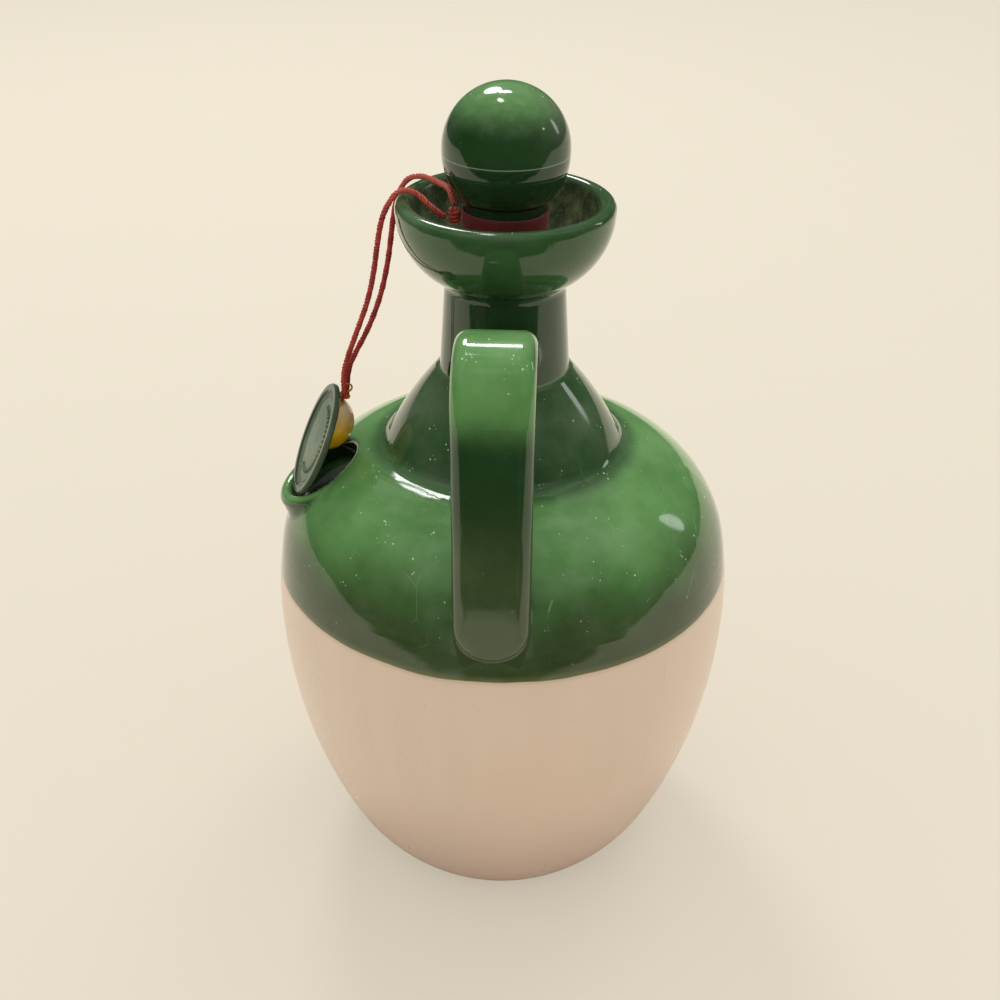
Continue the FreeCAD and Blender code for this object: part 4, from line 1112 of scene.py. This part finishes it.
def build_floor(settings):
    """Pale floor with a faint grain, partly lit and partly glowing where the camera sees it."""
    material, graph, shader = matt_material("Floor")
    grain = graph.noise(graph.add("ShaderNodeTexCoord").outputs["Object"], 40.0, 2.0)
    bare = tuple(channel * 0.99 for channel in settings.floor)
    tone = graph.mix(grain, bare, tuple(settings.floor))
    sight = graph.add("ShaderNodeLightPath").outputs["Is Camera Ray"]
    dim = graph.mix(1.0, tone, (FLOOR_SHARE, FLOOR_SHARE, FLOOR_SHARE), blend="MULTIPLY")
    graph.feed(shader.inputs["Base Color"], graph.mix(sight, tone, dim))
    graph.feed(shader.inputs["Emission Color"], graph.mix(sight, (0, 0, 0), tone))
    shader.inputs["Emission Strength"].default_value = FLOOR_GLOW
    half = FLOOR_SIZE / 2
    floor = mesh_object(
        "floor", [(-half, -half, 0), (half, -half, 0), (half, half, 0), (-half, half, 0)],
        [(0, 1, 2, 3)], material, smooth=False,
    )
    floor.location.z = -0.0001


def build_card():
    """Dark, patchy card over the floor in front, which only the glaze mirrors."""
    material, graph, shader = matt_material("Dark card")
    place = graph.add("ShaderNodeTexCoord").outputs["Object"]
    patches = graph.ramp(graph.noise(place, 7.0, 4.0, 0.6), 0.50, 0.66)
    colour = graph.mix(patches, (0.012, 0.013, 0.010), (0.16, 0.14, 0.09))
    graph.feed(shader.inputs["Base Color"], colour)
    near = graph.math("MULTIPLY_ADD", graph.noise(place, 14.0, 3.0), 0.09, graph.split(place)["Y"])
    graph.feed(shader.inputs["Alpha"], graph.ramp(near, -0.165, -0.20))
    half = FLOOR_SIZE / 2
    lift = 0.0002
    card = mesh_object(
        "card", [(-half, -half, lift), (half, -half, lift), (half, 0, lift), (-half, 0, lift)],
        [(0, 1, 2, 3)], material, smooth=False,
    )
    card.visible_camera = False
    card.visible_diffuse = False
    card.visible_shadow = False


def build_world(settings):
    """Even light all round; what the glaze mirrors of it is a dim room, lighter above and behind."""
    world = bpy.data.worlds.new("Studio")
    bpy.context.scene.world = world
    world.use_nodes = True
    world.node_tree.nodes.clear()
    graph = Graph(world.node_tree)
    glossy = graph.add("ShaderNodeLightPath").outputs["Is Glossy Ray"]
    way = graph.add("ShaderNodeTexCoord").outputs["Generated"]
    axes = graph.split(way)
    high = graph.ramp(axes["Z"], 0.25, 0.95)
    behind = graph.ramp(axes["Y"], -0.3, 0.8)
    amount = graph.math("MULTIPLY_ADD", high, 0.55, graph.math("MULTIPLY", behind, 0.12))
    shapes = graph.ramp(graph.noise(way, 3.2, 4.0, 0.6), 0.42, 0.62, 0.35, 1.2)
    amount = graph.math("MULTIPLY", amount, shapes)
    mirror = graph.mix(amount, (0.012, 0.015, 0.010), (0.95, 1.0, 0.92))
    level = graph.mix(glossy, (1.0, 0.985, 0.95), mirror)
    background = graph.add("ShaderNodeBackground", {"Color": level, "Strength": settings.ambient})
    sink = graph.add("ShaderNodeOutputWorld")
    graph.feed(sink.inputs["Surface"], background.outputs["Background"])


def add_lamp(name, place, target, size, power, mirror_only=True):
    """Oval lamp aimed at a point; mirror_only leaves it out of the diffuse light."""
    light = bpy.data.lights.new(name, "AREA")
    light.shape = "ELLIPSE"
    light.size, light.size_y = size
    light.energy = power
    thing = bpy.data.objects.new(name, light)
    thing.location = place
    aim = Vector(target) - Vector(place)
    thing.rotation_euler = aim.to_track_quat("-Z", "Y").to_euler()
    thing.visible_diffuse = not mirror_only
    bpy.context.scene.collection.objects.link(thing)


def build_lights():
    """Lamps that give the glaze its highlights, and a weak sun with no highlight of its own."""
    shoulder = (0, 0, 0.12)
    add_lamp("lamp_back", (-0.32, 0.88, 1.11), shoulder, (0.36, 0.44), 6.0, mirror_only=False)
    add_lamp("lamp_crest", (-0.06, 0.72, 1.26), shoulder, (0.30, 0.16), 2.2)
    add_lamp("lamp_top", (-0.16, 0.25, 1.3), shoulder, (0.12, 0.2), 1.2)
    add_lamp("lamp_right", (1.2, 0.55, 0.6), (0, 0, 0.1), (0.16, 0.45), 0.6)
    sun = bpy.data.lights.new("sun", "SUN")
    sun.energy = 0.35
    sun.angle = math.radians(25)
    thing = bpy.data.objects.new("sun", sun)
    thing.rotation_euler = (math.radians(-28), math.radians(22), 0)
    thing.visible_glossy = False
    bpy.context.scene.collection.objects.link(thing)


def build_camera(settings):
    """Camera in front and above, looking down on the shoulder."""
    camera = bpy.data.cameras.new("camera")
    camera.sensor_width = 36
    camera.lens = settings.lens
    camera.clip_start = 0.01
    turn = Matrix.Identity(4)
    for degrees, axis in CAMERA_TURNS:
        turn = turn @ Matrix.Rotation(math.radians(degrees), 4, axis)
    thing = bpy.data.objects.new("camera", camera)
    thing.matrix_world = Matrix.Translation(CAMERA_PLACE) @ turn
    bpy.context.scene.collection.objects.link(thing)
    bpy.context.scene.camera = thing


def build_stage(settings):
    """Floor, light and camera."""
    build_floor(settings)
    build_card()
    build_world(settings)
    build_lights()
    build_camera(settings)
    bpy.context.scene.view_settings.view_transform = "Standard"


# ---------------------------------------------------------------- operators


class DECANTER_OT_jug(bpy.types.Operator):
    """Glaze the vessel"""

    bl_idname = "decanter.jug"
    bl_label = "Jug"

    def execute(self, context):
        build_jug(context.scene.decanter_glaze)
        return {"FINISHED"}


class DECANTER_OT_stopper(bpy.types.Operator):
    """Glaze the stopper"""

    bl_idname = "decanter.stopper"
    bl_label = "Stopper"

    def execute(self, context):
        build_stopper(context.scene.decanter_glaze)
        return {"FINISHED"}


class DECANTER_OT_ties(bpy.types.Operator):
    """Make the ribbon, the knot and the two cords"""

    bl_idname = "decanter.ties"
    bl_label = "Ribbon and cords"

    def execute(self, context):
        settings = context.scene.decanter_cord
        # The cord gets painted light where it lies over the rim.
        material = yarn_material(
            "Red cord", CORD_REDS, (3000, 3000, 3000), 0.00009, sheen=0.2, lit_over_rim=True
        )
        build_band()
        build_knot(material)
        build_cords(settings, material)
        return {"FINISHED"}


class DECANTER_OT_seal(bpy.types.Operator):
    """Finish the seal and the glue on its back"""

    bl_idname = "decanter.seal"
    bl_label = "Seal and glue"

    def execute(self, context):
        build_seal(context.scene.decanter_seal, context.scene.decanter_glaze)
        build_glue()
        return {"FINISHED"}


class DECANTER_OT_stage(bpy.types.Operator):
    """Lay the floor and set the lights and the camera"""

    bl_idname = "decanter.stage"
    bl_label = "Stage"

    def execute(self, context):
        build_stage(context.scene.decanter_stage)
        return {"FINISHED"}


class DECANTER_PT_panel(bpy.types.Panel):
    """Steps of the decanter, in order"""

    bl_label = "Decanter"
    bl_idname = "DECANTER_PT_panel"
    bl_space_type = "VIEW_3D"
    bl_region_type = "UI"
    bl_category = "Decanter"

    def draw(self, context):
        for operator in OPERATORS:
            self.layout.operator(operator.bl_idname)


SETTINGS = {
    "decanter_glaze": GlazeSettings,
    "decanter_cord": CordSettings,
    "decanter_seal": SealSettings,
    "decanter_stage": StageSettings,
}
OPERATORS = (
    DECANTER_OT_jug,
    DECANTER_OT_stopper,
    DECANTER_OT_ties,
    DECANTER_OT_seal,
    DECANTER_OT_stage,
)


def register():
    """Adds the settings, the operators and the panel."""
    for group in SETTINGS.values():
        bpy.utils.register_class(group)
    for name, group in SETTINGS.items():
        setattr(bpy.types.Scene, name, PointerProperty(type=group))
    for operator in OPERATORS:
        bpy.utils.register_class(operator)
    bpy.utils.register_class(DECANTER_PT_panel)


def unregister():
    """Takes the panel, the operators and the settings away again."""
    bpy.utils.unregister_class(DECANTER_PT_panel)
    for operator in reversed(OPERATORS):
        bpy.utils.unregister_class(operator)
    for name in SETTINGS:
        delattr(bpy.types.Scene, name)
    for group in reversed(list(SETTINGS.values())):
        bpy.utils.unregister_class(group)


def main():
    """Runs each step in order."""
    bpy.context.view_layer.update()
    register()
    bpy.ops.decanter.jug()
    bpy.ops.decanter.stopper()
    bpy.ops.decanter.ties()
    bpy.ops.decanter.seal()
    bpy.ops.decanter.stage()


if __name__ == "__main__":
    main()
